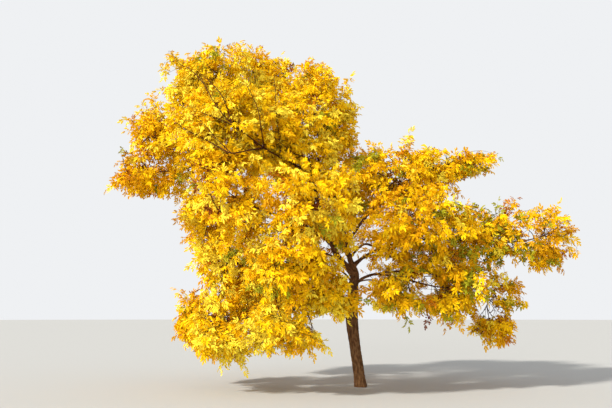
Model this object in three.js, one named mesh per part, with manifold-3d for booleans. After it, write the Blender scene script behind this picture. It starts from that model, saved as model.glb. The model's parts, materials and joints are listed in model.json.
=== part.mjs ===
// An ash-leaved maple in full autumn leaf, as it stands in a park: a short leaning trunk, a left leader
// and long spreading boughs, each of which runs out into a mass of golden foliage.
//
// The tree stands on Z = 0 with +Z up and the centre of its trunk's flat cut at the origin. It is drawn
// as it is seen by somebody who looks along +Y, so +X is to the right. Every limb is a tapering tube that
// goes on, past a fine joint, as the stem of its own mass of leaves. In each mass a few twigs branch from
// that stem by one rule, and each bears three sprays of leaves: one at its end and a pair beside it.
import * as THREE from "three";
import { mergeVertices } from "three/addons/utils/BufferGeometryUtils.js";
import Module from "manifold-3d";

const wasm = await Module();
wasm.setup();

// Driving dimensions, in millimetres.
const JOINT_GAP = 0.3; // between a limb and what it grows from
const TIP_GIRTH = 22; // radius of a limb where it enters a mass of usual size
const USUAL_HALF = 1050; // half-size of such a mass
const PIPE_POWER = 2.4; // girths to this power add up where limbs join
const TAPER = 0.14; // extra girth of a limb at its foot, as a share, beyond what its side limbs add
const FORK_SPAN = 0.05; // how far on each side of a side limb the girth eases, as a share of the limb
const FLARE_GIRTH = 0.15; // how much wider the foot of the trunk is, as a share
const FLARE_HEIGHT = 150; // over which the root flare dies away
const BUTTRESSES = 5;
const BUTTRESS_SHARE = 0.1; // how far the root buttresses stand out, as a share of the trunk's girth
const CUT_DEPTH = 60; // of trunk that is trimmed off level with the ground
const CUT_BLOCK = 1000; // size of the block that trims it
const TRUNK_SIDES = 12;
const LIMB_SIDES = 6;
const STEM_SIDES = 3;
const TWIG_SIDES = 3;
const TRUNK_STEP = 300; // length of one segment of the trunk
const LIMB_STEP = 480;
const LEAST_PARTS = 2; // segments of the shortest limb
const SCRAP_VOLUME = 1e5; // a piece of a limb smaller than this is a scrap
const SAME_CORNER = 1e-3; // corners of a mesh that lie nearer than this are one

const FOLLOW = 0.6; // how strongly a limb first follows what it grows from
const BEND = 0.33; // share of its reach over which a limb turns, at each end
const SPACE_GAP = 12; // kept clear between the spaces of two masses, on each side
const GROUND_GAP = 150; // no foliage hangs lower than this
const BOUGH_END = 0.86; // where a limb's bough gives way to its stem, as a share of its mass's half-size
const SHORTEST_BOUGH = 650; // a limb that enters its mass sooner has only its stem
const STEM_GIRTH_END = 0.6; // the stem's girth at its end, as a share of its start
const STEM_FEET = 9; // places on the stem where a twig can leave it
const STEM_PAIR = 90; // from the stem's end to its pair of side sprays
const TWIGS = 5; // that a mass may have
const SPOT_SPREAD = 0.48; // how far out the twigs end, as a share of the mass's half-size
const MOST_SPOTS = 900; // tried for each mass
const TWIG_GIRTH = 15;
const TWIG_GIRTH_END = 10;
const TWIG_FORK = 0.45; // where a twig can bear another twig
const TWIG_PAIR = 0.6; // where a twig bears its pair of side sprays
const SPRAY_ROOT = 15; // length of twig that is sunk in its end spray
const SPRAY_LENGTH = 1.2; // of a spray, as a share of its mass's mean half-size
const SPRAY_FITS = [1, 0.88, 0.76, 0.64, 0.52, 0.4]; // lengths tried in turn, as shares
const SPRAY_ROLLS = [0, 0.25, 0.5, 0.75]; // turns about its own line tried in turn, as shares of a full swing
const SPRAY_SWING = 2.2; // that full swing, in radians
const SPRAY_WIDTH = 0.66; // as a share of its length
const SPRAY_KEEL = 0.05; // how far its two sides hang below its middle, as a share of its length
const SPRAY_ARCH = 0.1; // how far its tip hangs
const SPRAY_WIDEST = 0.46; // where a spray is widest, from its root
const SPRAY_SPLAY = 1.05; // angle of a side spray from its twig, in radians
const SPRAY_DROOP = 0.6; // how much the sprays turn down
const SPRAY_OUTWARD = 0.7; // how much they turn away from the heart of their mass
const SPRAY_FACE_UP = 0.5; // how much their faces look up, against outward
const SPRAY_OVER = 1.13; // how far a spray may reach, as a share of the mass's half-size

const GOLDEN = 0.6180339887498949;
const EVEN_STEPS = [0.8191725133961645, 0.6710436067037893, 0.5497004779019703]; // fill a box evenly

const UP = new THREE.Vector3(0, 0, 1);

// The line of the trunk, from below its cut to where it enters the top of the crown.
const TRUNK_LINE = [
  [0, 0, -CUT_DEPTH],
  [-60, 0, 420],
  [-130, 0, 950],
  [-190, 0, 1500],
  [-150, 0, 2200],
  [-110, 0, 2520],
  [-220, 10, 2850],
  [-340, 20, 3400],
  [-520, 0, 4200],
  [-780, -40, 5050],
  [-980, -120, 5900],
];

// Lines of the other limbs whose course shows.
const LEFT_LEADER_LINE = [
  [-520, 20, 2930],
  [-650, 60, 3350],
  [-940, 50, 4200],
  [-1250, 0, 4800],
  [-2200, 0, 5400],
  [-3050, 100, 6100],
];
const LEFT_LOW_LINE = [
  [-950, 0, 3000],
  [-1400, -60, 3000],
];
const RIGHT_LOW_LINE = [
  [130, -20, 2430],
  [540, -40, 2530],
  [1000, -60, 2560],
  [1600, -80, 2500],
];
const RIGHT_MIDDLE_LINE = [
  [80, -60, 3160],
  [320, -220, 3110],
  [700, -620, 3020],
];

// Each limb and the mass of leaves that it runs into: the mass's heart and half-sizes, the limb that it
// grows from and how far along it, as a share, and the slope at which it enters its mass. A limb with a
// line follows it. Where a limb enters its mass at once, the mass's own stem takes the bough's place.
const LIMBS = [
  { name: "top_right", heart: [-1050, -200, 6650], half: [720, 1000, 850], line: TRUNK_LINE },
  {
    name: "upper_left", heart: [-3780, 300, 6820], half: [840, 1100, 840],
    from: "top_right", along: 0.44, line: LEFT_LEADER_LINE,
  },
  {
    name: "top_left", heart: [-3050, -500, 6980], half: [900, 1100, 860],
    from: "upper_left", along: 0.66, rise: 1.6,
  },
  {
    name: "top", heart: [-2100, 600, 7100], half: [950, 1100, 930],
    from: "upper_left", along: 0.5, rise: 1.7,
  },
  {
    name: "right_shoulder", heart: [-520, 300, 6150], half: [550, 1000, 950],
    from: "top_right", along: 0.8, rise: 1.6,
  },
  {
    name: "upper_middle", heart: [-1300, -900, 5550], half: [1050, 1050, 1080],
    from: "top_right", along: 0.7, rise: 0.7,
  },
  {
    name: "upper_front", heart: [-2700, -1950, 5450], half: [1100, 1100, 1080],
    from: "upper_left", along: 0.44, rise: 0.5,
  },
  {
    name: "upper_back", heart: [-2700, 2050, 6000], half: [1300, 1250, 1200],
    from: "upper_left", along: 0.55, rise: 0.6,
  },
  {
    name: "left_upper", heart: [-4300, -100, 5650], half: [1030, 1150, 970],
    from: "upper_left", along: 0.58, rise: 0.1,
  },
  {
    name: "far_left", heart: [-4780, -250, 4850], half: [980, 1100, 720],
    from: "left_upper", along: 0.42, rise: 0.2,
  },
  {
    name: "left_back", heart: [-3400, 1900, 4020], half: [1150, 1350, 1200],
    from: "upper_left", along: 0.24, rise: 0.3,
  },
  {
    name: "left_low", heart: [-2800, -450, 2700], half: [930, 1200, 950],
    from: "upper_left", along: 0.12, line: LEFT_LOW_LINE,
  },
  {
    name: "front_left", heart: [-2600, -2550, 3850], half: [1080, 1150, 1030],
    from: "upper_left", along: 0.2, rise: 0.3,
  },
  {
    name: "front_middle", heart: [-1150, -2850, 3700], half: [1080, 1150, 970],
    from: "top_right", along: 0.56, rise: 0.25,
  },
  {
    name: "front_low", heart: [-1520, -2650, 2550], half: [980, 1080, 750],
    from: "top_right", along: 0.37, rise: 0.05,
  },
  {
    name: "near_trunk", heart: [-700, -1750, 1930], half: [560, 800, 520],
    from: "top_right", along: 0.33, rise: -0.25,
  },
  {
    name: "low_left", heart: [-2860, -1250, 1350], half: [880, 1100, 870],
    from: "top_right", along: 0.29, rise: -0.45,
  },
  {
    name: "low_middle", heart: [-1620, -1900, 1540], half: [900, 1080, 780],
    from: "low_left", along: 0.35, rise: -0.3,
  },
  {
    name: "low_left_tip", heart: [-3520, 150, 1430], half: [660, 1080, 820],
    from: "low_left", along: 0.45, rise: -0.3,
  },
  {
    name: "back_low", heart: [-2100, 2350, 2250], half: [1300, 1250, 1020],
    from: "top_right", along: 0.36, rise: 0.05,
  },
  {
    name: "back_middle", heart: [-850, 3150, 4250], half: [1300, 1250, 1250],
    from: "top_right", along: 0.52, rise: 0.4,
  },
  {
    name: "back_right", heart: [0, 2100, 5100], half: [1300, 1250, 1080],
    from: "top_right", along: 0.64, rise: 0.6,
  },
  {
    name: "right_tip", heart: [2050, 0, 5030], half: [1200, 950, 400],
    from: "top_right", along: 0.6, rise: 0.2,
  },
  {
    name: "right_upper", heart: [780, -450, 4550], half: [1220, 1250, 880],
    from: "right_tip", along: 0.3, rise: 0.5,
  },
  {
    name: "right_far", heart: [3050, 0, 3380], half: [1080, 1200, 820],
    from: "top_right", along: 0.5, rise: 0.12,
  },
  {
    name: "far_right", heart: [4250, 200, 3380], half: [800, 900, 880],
    from: "right_far", along: 0.55, rise: 0.35,
  },
  {
    name: "right_middle", heart: [1200, -1500, 3450], half: [1260, 1200, 930],
    from: "top_right", along: 0.55, line: RIGHT_MIDDLE_LINE,
  },
  {
    name: "right_low_far", heart: [2930, -50, 1900], half: [700, 1000, 1060],
    from: "top_right", along: 0.37, line: RIGHT_LOW_LINE,
  },
  {
    name: "right_low", heart: [1750, -1000, 2150], half: [1030, 1080, 800],
    from: "right_low_far", along: 0.3, rise: -0.1,
  },
  {
    name: "fork_right", heart: [600, -1600, 2120], half: [660, 900, 550],
    from: "right_low_far", along: 0.08, rise: -0.15,
  },
  {
    name: "right_low_back", heart: [1800, 2100, 2900], half: [1380, 1250, 1000],
    from: "right_far", along: 0.1, rise: 0.15,
  },
];
const TRUNK = LIMBS[0];

const BARK_COLOUR = 0x6b4a34;
const LEAF_COLOURS = { golden: 0xf5b512, amber: 0xeaa00c, lemon: 0xf3cf33, olive: 0xc9b32a };
const LEAF_TINTS = {
  amber: [
    "far_right", "right_low", "right_low_far", "right_low_back", "right_middle", "fork_right", "back_right",
  ],
  lemon: ["low_middle", "low_left", "left_low"],
  olive: ["right_far"],
};

const vector = (p) => new THREE.Vector3(...p);
const fraction = (x) => x - Math.floor(x);
const named = (name) => LIMBS.find((limb) => limb.name === name);
const meanHalf = (limb) => Math.cbrt(limb.half[0] * limb.half[1] * limb.half[2]);

// A closed solid of any geometry whose surface is closed.
function solidOf(geometry) {
  geometry.deleteAttribute("normal");
  geometry.deleteAttribute("uv");
  const merged = mergeVertices(geometry, SAME_CORNER);
  return new wasm.Manifold(
    new wasm.Mesh({
      numProp: 3,
      vertProperties: new Float32Array(merged.attributes.position.array),
      triVerts: new Uint32Array(merged.index.array),
    }),
  );
}

function geometryOf(solid) {
  const mesh = solid.getMesh();
  const geometry = new THREE.BufferGeometry();
  geometry.setAttribute("position", new THREE.BufferAttribute(mesh.vertProperties, 3));
  geometry.setIndex(new THREE.BufferAttribute(mesh.triVerts, 1));
  return geometry;
}

// The largest body of a solid, without loose scraps and sealed hollows.
function mainBody(solid) {
  return solid.decompose().reduce((a, b) => (b.volume() > a.volume() ? b : a));
}

// A solid with its box, and whose it is.
const piece = (owner, solid) => ({ owner, solid, box: solid.boundingBox() });

function boxesMeet(a, b) {
  return [0, 1, 2].every((k) => a.min[k] <= b.max[k] && b.min[k] <= a.max[k]);
}

function touches(solid, others) {
  const box = solid.boundingBox();
  return others.some((other) => boxesMeet(box, other.box) && !solid.intersect(other.solid).isEmpty());
}

// A closed tube through stations, each a point and the way that the tube goes there. Its radius at
// station k and angle a is girth(k, a).
function tube(stations, girth, sides) {
  const last = stations.length - 1;
  const geometry = new THREE.CylinderGeometry(1, 1, 1, sides, last);
  let across = new THREE.Vector3(0, 1, 0);
  const frames = stations.map(({ point, way }) => {
    across = across.clone().addScaledVector(way, -across.dot(way)).normalize();
    return { point, across, side: new THREE.Vector3().crossVectors(across, way) };
  });
  const at = geometry.attributes.position;
  for (let i = 0; i < at.count; i++) {
    const k = Math.round((at.getY(i) + 0.5) * last);
    const radius = girth(k, Math.atan2(at.getZ(i), at.getX(i)));
    const place = frames[k].point
      .clone()
      .addScaledVector(frames[k].across, at.getX(i) * radius)
      .addScaledVector(frames[k].side, at.getZ(i) * radius);
    at.setXYZ(i, place.x, place.y, place.z);
  }
  return solidOf(geometry);
}

// The line of a limb, from the middle of what it grows from to the heart of its own mass.
function lineOf(limb) {
  const end = vector(limb.heart);
  if (limb === TRUNK) return new THREE.CatmullRomCurve3([...limb.line.map(vector), end], false, "catmullrom");
  const parent = named(limb.from);
  const start = parent.curve.getPoint(limb.along);
  if (limb.line) {
    return new THREE.CatmullRomCurve3([start, ...limb.line.map(vector), end], false, "catmullrom");
  }
  const way = new THREE.Vector3().subVectors(end, start);
  const reach = way.length();
  const leave = parent.curve
    .getTangent(limb.along)
    .multiplyScalar(FOLLOW)
    .addScaledVector(way, 1 / reach)
    .normalize();
  const enter = new THREE.Vector3(way.x, way.y, 0).normalize().addScaledVector(UP, limb.rise).normalize();
  return new THREE.CubicBezierCurve3(
    start,
    start.clone().addScaledVector(leave, reach * BEND),
    end.clone().addScaledVector(enter, -reach * BEND),
    end,
  );
}

// By how much p lies on its own side of the plane between two masses.
function sideOf(p, mass, other) {
  const power = (limb) => p.distanceToSquared(limb.centre) - meanHalf(limb) ** 2;
  return (power(other) - power(mass)) / (2 * mass.centre.distanceTo(other.centre));
}

// True if p is in the mass's own space: inside its egg, above the ground, and on its side of every plane.
function inSpace(mass, p, stretch = 1) {
  const q = p.clone().sub(mass.centre).divide(vector(mass.half));
  if (q.length() > stretch || p.z < GROUND_GAP) return false;
  return LIMBS.every((other) => other === mass || sideOf(p, mass, other) > SPACE_GAP);
}

// The girth of a limb at a share of its line. As in a real tree, a limb is as stout at a place as its
// tip and the side limbs beyond that place need between them.
function girthAt(limb, share) {
  let sum = limb.tip ** PIPE_POWER;
  for (const side of LIMBS.filter((other) => other.from === limb.name)) {
    const beyond = THREE.MathUtils.clamp((side.along + FORK_SPAN - share) / (2 * FORK_SPAN), 0, 1);
    sum += beyond * girthAt(side, 0) ** PIPE_POWER;
  }
  return sum ** (1 / PIPE_POWER) * (1 + TAPER * (1 - share));
}

// The share of its line at which a limb enters its mass for good.
function entryOf(limb) {
  const steps = 400;
  let k = steps;
  while (k > 0 && inSpace(limb, limb.curve.getPoint(k / steps), BOUGH_END)) k--;
  return (k + 1) / steps;
}

// Places on a line between two shares of it, about a step apart, each with the line's way there.
function stationsOf(curve, from, to, step) {
  const parts = Math.max(LEAST_PARTS, Math.round(((to - from) * curve.getLength()) / step));
  return Array.from({ length: parts + 1 }, (_, k) => {
    const share = from + ((to - from) * k) / parts;
    return { share, point: curve.getPoint(share), way: curve.getTangent(share) };
  });
}

// How much of a line's share the joint's gap takes up at a place on it.
function gapShare(curve, share) {
  const near = 1e-3;
  return (JOINT_GAP * near) / curve.getPoint(share).distanceTo(curve.getPoint(share + near));
}

// A limb's tube from its foot to its bough's end, stouter all round by extra. The trunk has its flare.
function limbTube(limb, extra) {
  const [sides, step] = limb === TRUNK ? [TRUNK_SIDES, TRUNK_STEP] : [LIMB_SIDES, LIMB_STEP];
  const stations = stationsOf(limb.curve, 0, limb.entry, step);
  const flare = (k, angle) => {
    if (limb !== TRUNK) return 1;
    const near = Math.exp(-Math.max(stations[k].point.z, 0) / FLARE_HEIGHT);
    return 1 + near * (FLARE_GIRTH + BUTTRESS_SHARE * Math.cos(BUTTRESSES * angle));
  };
  return tube(stations, (k, angle) => girthAt(limb, stations[k].share) * flare(k, angle) + extra, sides);
}

// The stem of a mass, from just past its bough's end, or from the limb that bears it, to its heart.
function stemTube(limb, extra) {
  const from = limb.hasBough ? limb.entry + gapShare(limb.curve, limb.entry) : 0;
  const stations = stationsOf(limb.curve, from, 1, LIMB_STEP);
  const thinning = (1 - STEM_GIRTH_END) / (stations.length - 1);
  return tube(stations, (k) => limb.tip * (1 - thinning * k) + extra, STEM_SIDES);
}

// Limbs and stems, a joint's gap stouter: what twigs and sprays must stay clear of.
const obstacles = [];

// A solid with a gap cut round everything that was made before it.
function cutClear(name, solid) {
  const box = solid.boundingBox();
  const cut = obstacles
    .filter((other) => boxesMeet(box, other.box))
    .reduce((rest, other) => rest.subtract(other.solid), solid);
  const bodies = cut.decompose().filter((body) => body.volume() > SCRAP_VOLUME);
  if (bodies.length !== 1) throw new Error(`${name} is cut into ${bodies.length} by another limb`);
  return bodies[0];
}

function makeLimbs() {
  const block = new THREE.BoxGeometry(CUT_BLOCK, CUT_BLOCK, CUT_BLOCK).translate(0, 0, -CUT_BLOCK / 2);
  const belowGround = solidOf(block);
  LIMBS.forEach((limb, i) => {
    limb.centre = vector(limb.heart);
    limb.tip = TIP_GIRTH * (meanHalf(limb) / USUAL_HALF);
    limb.seeds = [1, 2, 3].map((k) => fraction((i + 1) * GOLDEN * k));
  });
  for (const limb of LIMBS) {
    limb.curve = lineOf(limb);
    limb.entry = entryOf(limb);
    limb.hasBough = limb.entry * limb.curve.getLength() > SHORTEST_BOUGH;
  }
  for (const limb of LIMBS.filter((one) => one.hasBough)) {
    limb.solid = cutClear(limb.name, limbTube(limb, 0));
    if (limb === TRUNK) limb.solid = limb.solid.subtract(belowGround);
    obstacles.push(piece(`${limb.name} bough`, limbTube(limb, JOINT_GAP)));
  }
  for (const limb of LIMBS) {
    limb.stem = limb.hasBough ? stemTube(limb, 0) : cutClear(limb.name, stemTube(limb, 0));
    limb.feet = Array.from({ length: STEM_FEET }, (_, k) => {
      const share = limb.entry + (1 - limb.entry) * ((k + 1) / STEM_FEET);
      return { point: limb.curve.getPoint(share), way: limb.curve.getTangent(share) };
    });
  }
  obstacles.push(...LIMBS.map((limb) => piece(`${limb.name} stem`, stemTube(limb, JOINT_GAP))));
}

// One spray of leaves: a blade with a keel on top and an arch, whose root is on the line of its twig.
function spray(root, way, face, length) {
  const side = new THREE.Vector3().crossVectors(way, face).normalize();
  const front = new THREE.Vector3().crossVectors(side, way);
  const geometry = new THREE.SphereGeometry(1, 3, 2); // two ends and three corners between them
  const at = geometry.attributes.position;
  const corners = [];
  for (let i = 0; i < at.count; i++) {
    const edge = Math.abs(at.getZ(i)) > 0.5 ? Math.sign(at.getZ(i)) : 0;
    const onKeel = at.getX(i) < -0.5 ? 1 : 0;
    const share = edge || onKeel ? SPRAY_WIDEST : (at.getY(i) + 1) / 2;
    const place = root
      .clone()
      .addScaledVector(side, (edge * SPRAY_WIDTH * length) / 2)
      .addScaledVector(way, share * length)
      .addScaledVector(front, (onKeel * SPRAY_KEEL - share * share * SPRAY_ARCH) * length);
    at.setXYZ(i, place.x, place.y, place.z);
    corners.push(place);
  }
  return { solid: solidOf(geometry), corners };
}

// Spots spread evenly through the middle of a mass's space, the nearest to its entry first.
function spotsOf(mass) {
  const spots = [];
  for (let n = 1; n < MOST_SPOTS && spots.length < TWIGS; n++) {
    const q = vector(mass.seeds.map((seed, k) => 2 * fraction(seed + n * EVEN_STEPS[k]) - 1));
    const spot = q.clone().multiply(vector(mass.half)).multiplyScalar(SPOT_SPREAD).add(mass.centre);
    if (q.length() < 1 && inSpace(mass, spot)) spots.push(spot);
  }
  const start = mass.feet[0].point;
  return spots.sort((a, b) => a.distanceTo(start) - b.distanceTo(start));
}

// The ways that the sprays at the end of a twig, and of the pair beside it, point.
function sprayWays(mass, { end, way }, turn) {
  const outward = end.clone().sub(mass.centre).divideScalar(meanHalf(mass));
  const last = way.clone().addScaledVector(outward, SPRAY_OUTWARD).addScaledVector(UP, -SPRAY_DROOP);
  const side = new THREE.Vector3().crossVectors(way, UP).normalize();
  side.applyAxisAngle(way, (fraction(mass.seeds[1] + turn * GOLDEN) - 0.5) * SPRAY_SWING);
  const pair = [1, -1].map((hand) =>
    way
      .clone()
      .multiplyScalar(Math.cos(SPRAY_SPLAY))
      .addScaledVector(side, hand * Math.sin(SPRAY_SPLAY))
      .addScaledVector(UP, -SPRAY_DROOP / 2),
  );
  return [last, ...pair].map((one) => one.normalize());
}

// The longest spray, of those tried, that stays in its mass's space and touches none of the others.
function fittingSpray(mass, root, way, turn, others) {
  const outward = root.clone().sub(mass.centre).normalize().addScaledVector(UP, SPRAY_FACE_UP);
  for (const fit of SPRAY_FITS) {
    for (const roll of SPRAY_ROLLS) {
      const face = outward.clone().addScaledVector(way, -outward.dot(way)).normalize();
      face.applyAxisAngle(way, (fraction(mass.seeds[0] + turn * GOLDEN + roll) - 0.5) * SPRAY_SWING);
      const { solid, corners } = spray(root, way, face, SPRAY_LENGTH * meanHalf(mass) * fit);
      const inside = corners.every((corner) => inSpace(mass, corner, SPRAY_OVER));
      if (inside && !touches(solid, others)) return solid;
    }
  }
  return null;
}

// The stem, twigs and sprays of one mass, fused into one solid. Each twig runs to a spot from the
// nearest free place on the stem or on an earlier twig.
function leafMass(mass) {
  const limbs = obstacles.filter((other) => other.owner !== `${mass.name} stem`);
  const made = [piece("stem", mass.stem)];
  const feet = [...mass.feet];
  const tip = feet[STEM_FEET - 1];
  const bearers = [];
  spotsOf(mass).forEach((spot, n) => {
    const foot = feet.reduce((a, b) => (b.point.distanceTo(spot) < a.point.distanceTo(spot) ? b : a));
    const way = spot.clone().sub(foot.point).normalize();
    const line = [foot.point, spot].map((point) => ({ point, way }));
    const twig = tube(line, (k) => [TWIG_GIRTH, TWIG_GIRTH_END][k], TWIG_SIDES);
    if (touches(twig, limbs)) return;
    const along = (share) => foot.point.clone().lerp(spot, share);
    feet.splice(feet.indexOf(foot), 1, { point: along(TWIG_FORK), way });
    made.push(piece(`twig ${n}`, twig));
    bearers.push({ owner: `twig ${n}`, end: spot, pairAt: along(TWIG_PAIR), way });
  });
  const pairAt = tip.point.clone().addScaledVector(tip.way, -STEM_PAIR);
  bearers.push({ owner: "stem", end: tip.point, pairAt, way: tip.way });

  let turn = 0;
  for (const bearer of bearers) {
    const ways = sprayWays(mass, bearer, turn);
    const roots = [bearer.end.clone().addScaledVector(bearer.way, -SPRAY_ROOT), bearer.pairAt, bearer.pairAt];
    ways.forEach((way, k) => {
      turn += 1;
      const others = [...limbs, ...made.filter((one) => one.owner !== bearer.owner)];
      const solid = fittingSpray(mass, roots[k], way, turn, others);
      if (solid) made.push(piece(`spray ${turn}`, solid));
    });
  }
  return mainBody(made.map((one) => one.solid).reduce((a, b) => a.add(b)));
}

function mesh(name, solid, material) {
  const made = new THREE.Mesh(geometryOf(solid), material);
  made.name = name;
  return made;
}

const bark = new THREE.MeshStandardMaterial({ color: BARK_COLOUR, roughness: 0.9, metalness: 0 });
const leaves = Object.fromEntries(
  Object.entries(LEAF_COLOURS).map(([tint, color]) => [
    tint,
    new THREE.MeshStandardMaterial({ color, roughness: 0.6, metalness: 0, flatShading: true }),
  ]),
);
const tintOf = (name) => Object.keys(LEAF_TINTS).find((tint) => LEAF_TINTS[tint].includes(name)) ?? "golden";

makeLimbs();
const tree = new THREE.Group();
tree.name = "ash_leaved_maple";
for (const limb of LIMBS) {
  const name = limb === TRUNK ? "trunk" : `${limb.name}_bough`;
  if (limb.hasBough) tree.add(mesh(name, limb.solid, bark));
  tree.add(mesh(`${limb.name}_leaves`, leafMass(limb), leaves[tintOf(limb.name)]));
}

export default tree;
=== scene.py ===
"""An ash-leaved maple in full autumn leaf: its bark, its twigs and its leaves, grown on the frame's limbs.

Every limb runs along a smooth course into a mass of leaves that keeps to its own space. In each mass twigs
leave the stem by one rule, each twig bears sprays, each spray bears shoots in crossed pairs, and each shoot
bears leaves of five hanging leaflets in pairs. The boughs bear side sprays of their own, long twigs show on
the near side of the crown, and some sprays reach out of its outline. Lengths are in metres, +Z is up, and the
tree is seen by somebody who looks along +Y.
"""

import json
import math
from dataclasses import dataclass
from functools import lru_cache

import bmesh
import bpy
import numpy as np
from bpy.props import FloatProperty, FloatVectorProperty, PointerProperty
from mathutils import Matrix, Vector, kdtree, noise

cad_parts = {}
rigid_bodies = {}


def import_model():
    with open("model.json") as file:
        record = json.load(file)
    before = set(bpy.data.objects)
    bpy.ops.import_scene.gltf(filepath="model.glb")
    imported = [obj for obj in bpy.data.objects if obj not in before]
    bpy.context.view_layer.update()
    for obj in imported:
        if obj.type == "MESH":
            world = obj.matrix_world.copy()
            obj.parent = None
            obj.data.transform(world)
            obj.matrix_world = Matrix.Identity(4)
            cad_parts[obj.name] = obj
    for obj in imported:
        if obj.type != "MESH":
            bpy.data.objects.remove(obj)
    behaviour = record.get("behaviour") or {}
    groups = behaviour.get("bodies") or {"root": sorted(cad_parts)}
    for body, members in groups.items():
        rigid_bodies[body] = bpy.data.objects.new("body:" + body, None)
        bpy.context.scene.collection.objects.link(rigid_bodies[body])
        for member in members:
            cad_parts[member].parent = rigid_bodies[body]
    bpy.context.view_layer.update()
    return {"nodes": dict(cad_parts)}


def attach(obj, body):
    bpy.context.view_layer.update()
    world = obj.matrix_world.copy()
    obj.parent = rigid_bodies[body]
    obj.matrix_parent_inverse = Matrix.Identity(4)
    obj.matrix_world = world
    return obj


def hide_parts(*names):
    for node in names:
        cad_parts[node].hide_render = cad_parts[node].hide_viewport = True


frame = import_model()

bl_info = {
    "name": "Ash-leaved maple",
    "version": (1, 0, 0),
    "blender": (4, 5, 0),
    "location": "View3D > Sidebar > Maple",
    "description": "Makes the bark, twigs and leaves of an ash-leaved maple on its frame",
    "category": "Add Mesh",
}

UP = np.array([0.0, 0.0, 1.0])
VIEWER = np.array([-1.22, -16.267, 1.6])  # the eye of somebody who looks at the tree

# The courses of the limbs that show.
TRUNK_LINE = [
    (0, 0, -0.06),
    (-0.06, 0, 0.42),
    (-0.13, 0, 0.95),
    (-0.19, 0, 1.5),
    (-0.15, 0, 2.2),
    (-0.11, 0, 2.52),
    (-0.22, 0.01, 2.85),
    (-0.34, 0.02, 3.4),
    (-0.52, 0, 4.2),
    (-0.78, -0.04, 5.05),
    (-0.98, -0.12, 5.9),
]
LEFT_LEADER_LINE = [
    (-0.52, 0.02, 2.93),
    (-0.65, 0.06, 3.35),
    (-0.94, 0.05, 4.2),
    (-1.25, 0, 4.8),
    (-2.2, 0, 5.4),
    (-3.05, 0.1, 6.1),
]
LEFT_LOW_LINE = [(-0.95, 0, 3), (-1.4, -0.06, 3)]
RIGHT_LOW_LINE = [(0.13, -0.02, 2.43), (0.54, -0.04, 2.53), (1, -0.06, 2.56), (1.6, -0.08, 2.5)]
RIGHT_MIDDLE_LINE = [(0.08, -0.06, 3.16), (0.32, -0.22, 3.11), (0.7, -0.62, 3.02)]

# The long twigs that show on the near side of the crown: what each grows from, how far along it, its
# radius there, and the places that it runs through.
FAN = {
    "near_leader": (
        "upper_left", 0.43, 0.026,
        [
            (-1.08, -0.5, 4.62), (-1.35, -1, 4.75), (-1.73, -1.5, 4.86), (-2.08, -2, 4.96),
            (-2.42, -2.35, 5.16), (-2.77, -2.5, 5.41), (-3.12, -2.2, 5.91), (-3.6, -0.9, 6.9),
        ],
    ),
    "low_fan": (
        "near_leader", 0.5, 0.018,
        [
            (-2.35, -2.4, 4.82), (-2.67, -2.75, 4.68), (-2.91, -2.7, 4.81),
            (-3.26, -2.5, 5.04), (-3.69, -2, 5.35), (-4.13, -1.1, 5.8),
        ],
    ),
    "low_fan_side": ("low_fan", 0.33, 0.01, [(-2.98, -2.7, 4.99), (-3.25, -2.6, 5.32), (-3.56, -2.2, 5.64)]),
    "middle_fan": ("near_leader", 0.7, 0.012, [(-3.04, -2.6, 5.44), (-3.47, -2.1, 5.73), (-4.01, -1, 6.26)]),
    "high_fan": ("near_leader", 0.72, 0.012, [(-2.93, -2.2, 5.99), (-3.41, -1.25, 6.7), (-3.69, -0.8, 7.04)]),
    "sprig": ("near_leader", 0.95, 0.011, [(-3.84, -0.8, 7.07), (-4.12, -0.5, 7.29), (-4.4, -0.3, 7.68)]),
    "upright": ("near_leader", 0.5, 0.014, [(-2.11, -2.5, 5.25), (-2.19, -2.6, 5.65), (-2.49, -2.2, 6.34)]),
    "inner_upright": (
        "near_leader", 0.38, 0.014,
        [(-1.79, -1.7, 5.31), (-1.85, -1.7, 5.82), (-1.91, -0.8, 6.58), (-1.98, -0.2, 7.31)],
    ),
    "inner_side": (
        "near_leader", 0.12, 0.015,
        [(-1.18, -1.3, 4.89), (-1.47, -1.6, 4.93), (-1.72, -1.8, 5.09), (-2, -2.4, 5.17)],
    ),
}

# The rule by which the limbs grow, as the frame's solids follow it.
TIP_GIRTH = 0.022  # radius of a limb where it enters a mass of usual size
USUAL_HALF = 1.05  # half-size of such a mass
PIPE_POWER = 2.4  # girths to this power add up where limbs join
TAPER = 0.14  # extra girth of a limb at its foot, as a share
FORK_SPAN = 0.05  # how far on each side of a side limb the girth eases, as a share of the limb
FOLLOW = 0.6  # how strongly a limb first follows what it grows from
BEND = 0.33  # share of its reach over which a limb turns, at each end
BOUGH_END = 0.86  # where a bough gives way to its stem, as a share of its mass's half-size
ENTRY_STEPS = 400
FLARE_GIRTH = 0.15  # how much wider the foot of the trunk is, as a share
FLARE_HEIGHT = 0.15
BUTTRESSES = 5
BUTTRESS_SHARE = 0.1
STEM_GIRTH_END = 0.6

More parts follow.
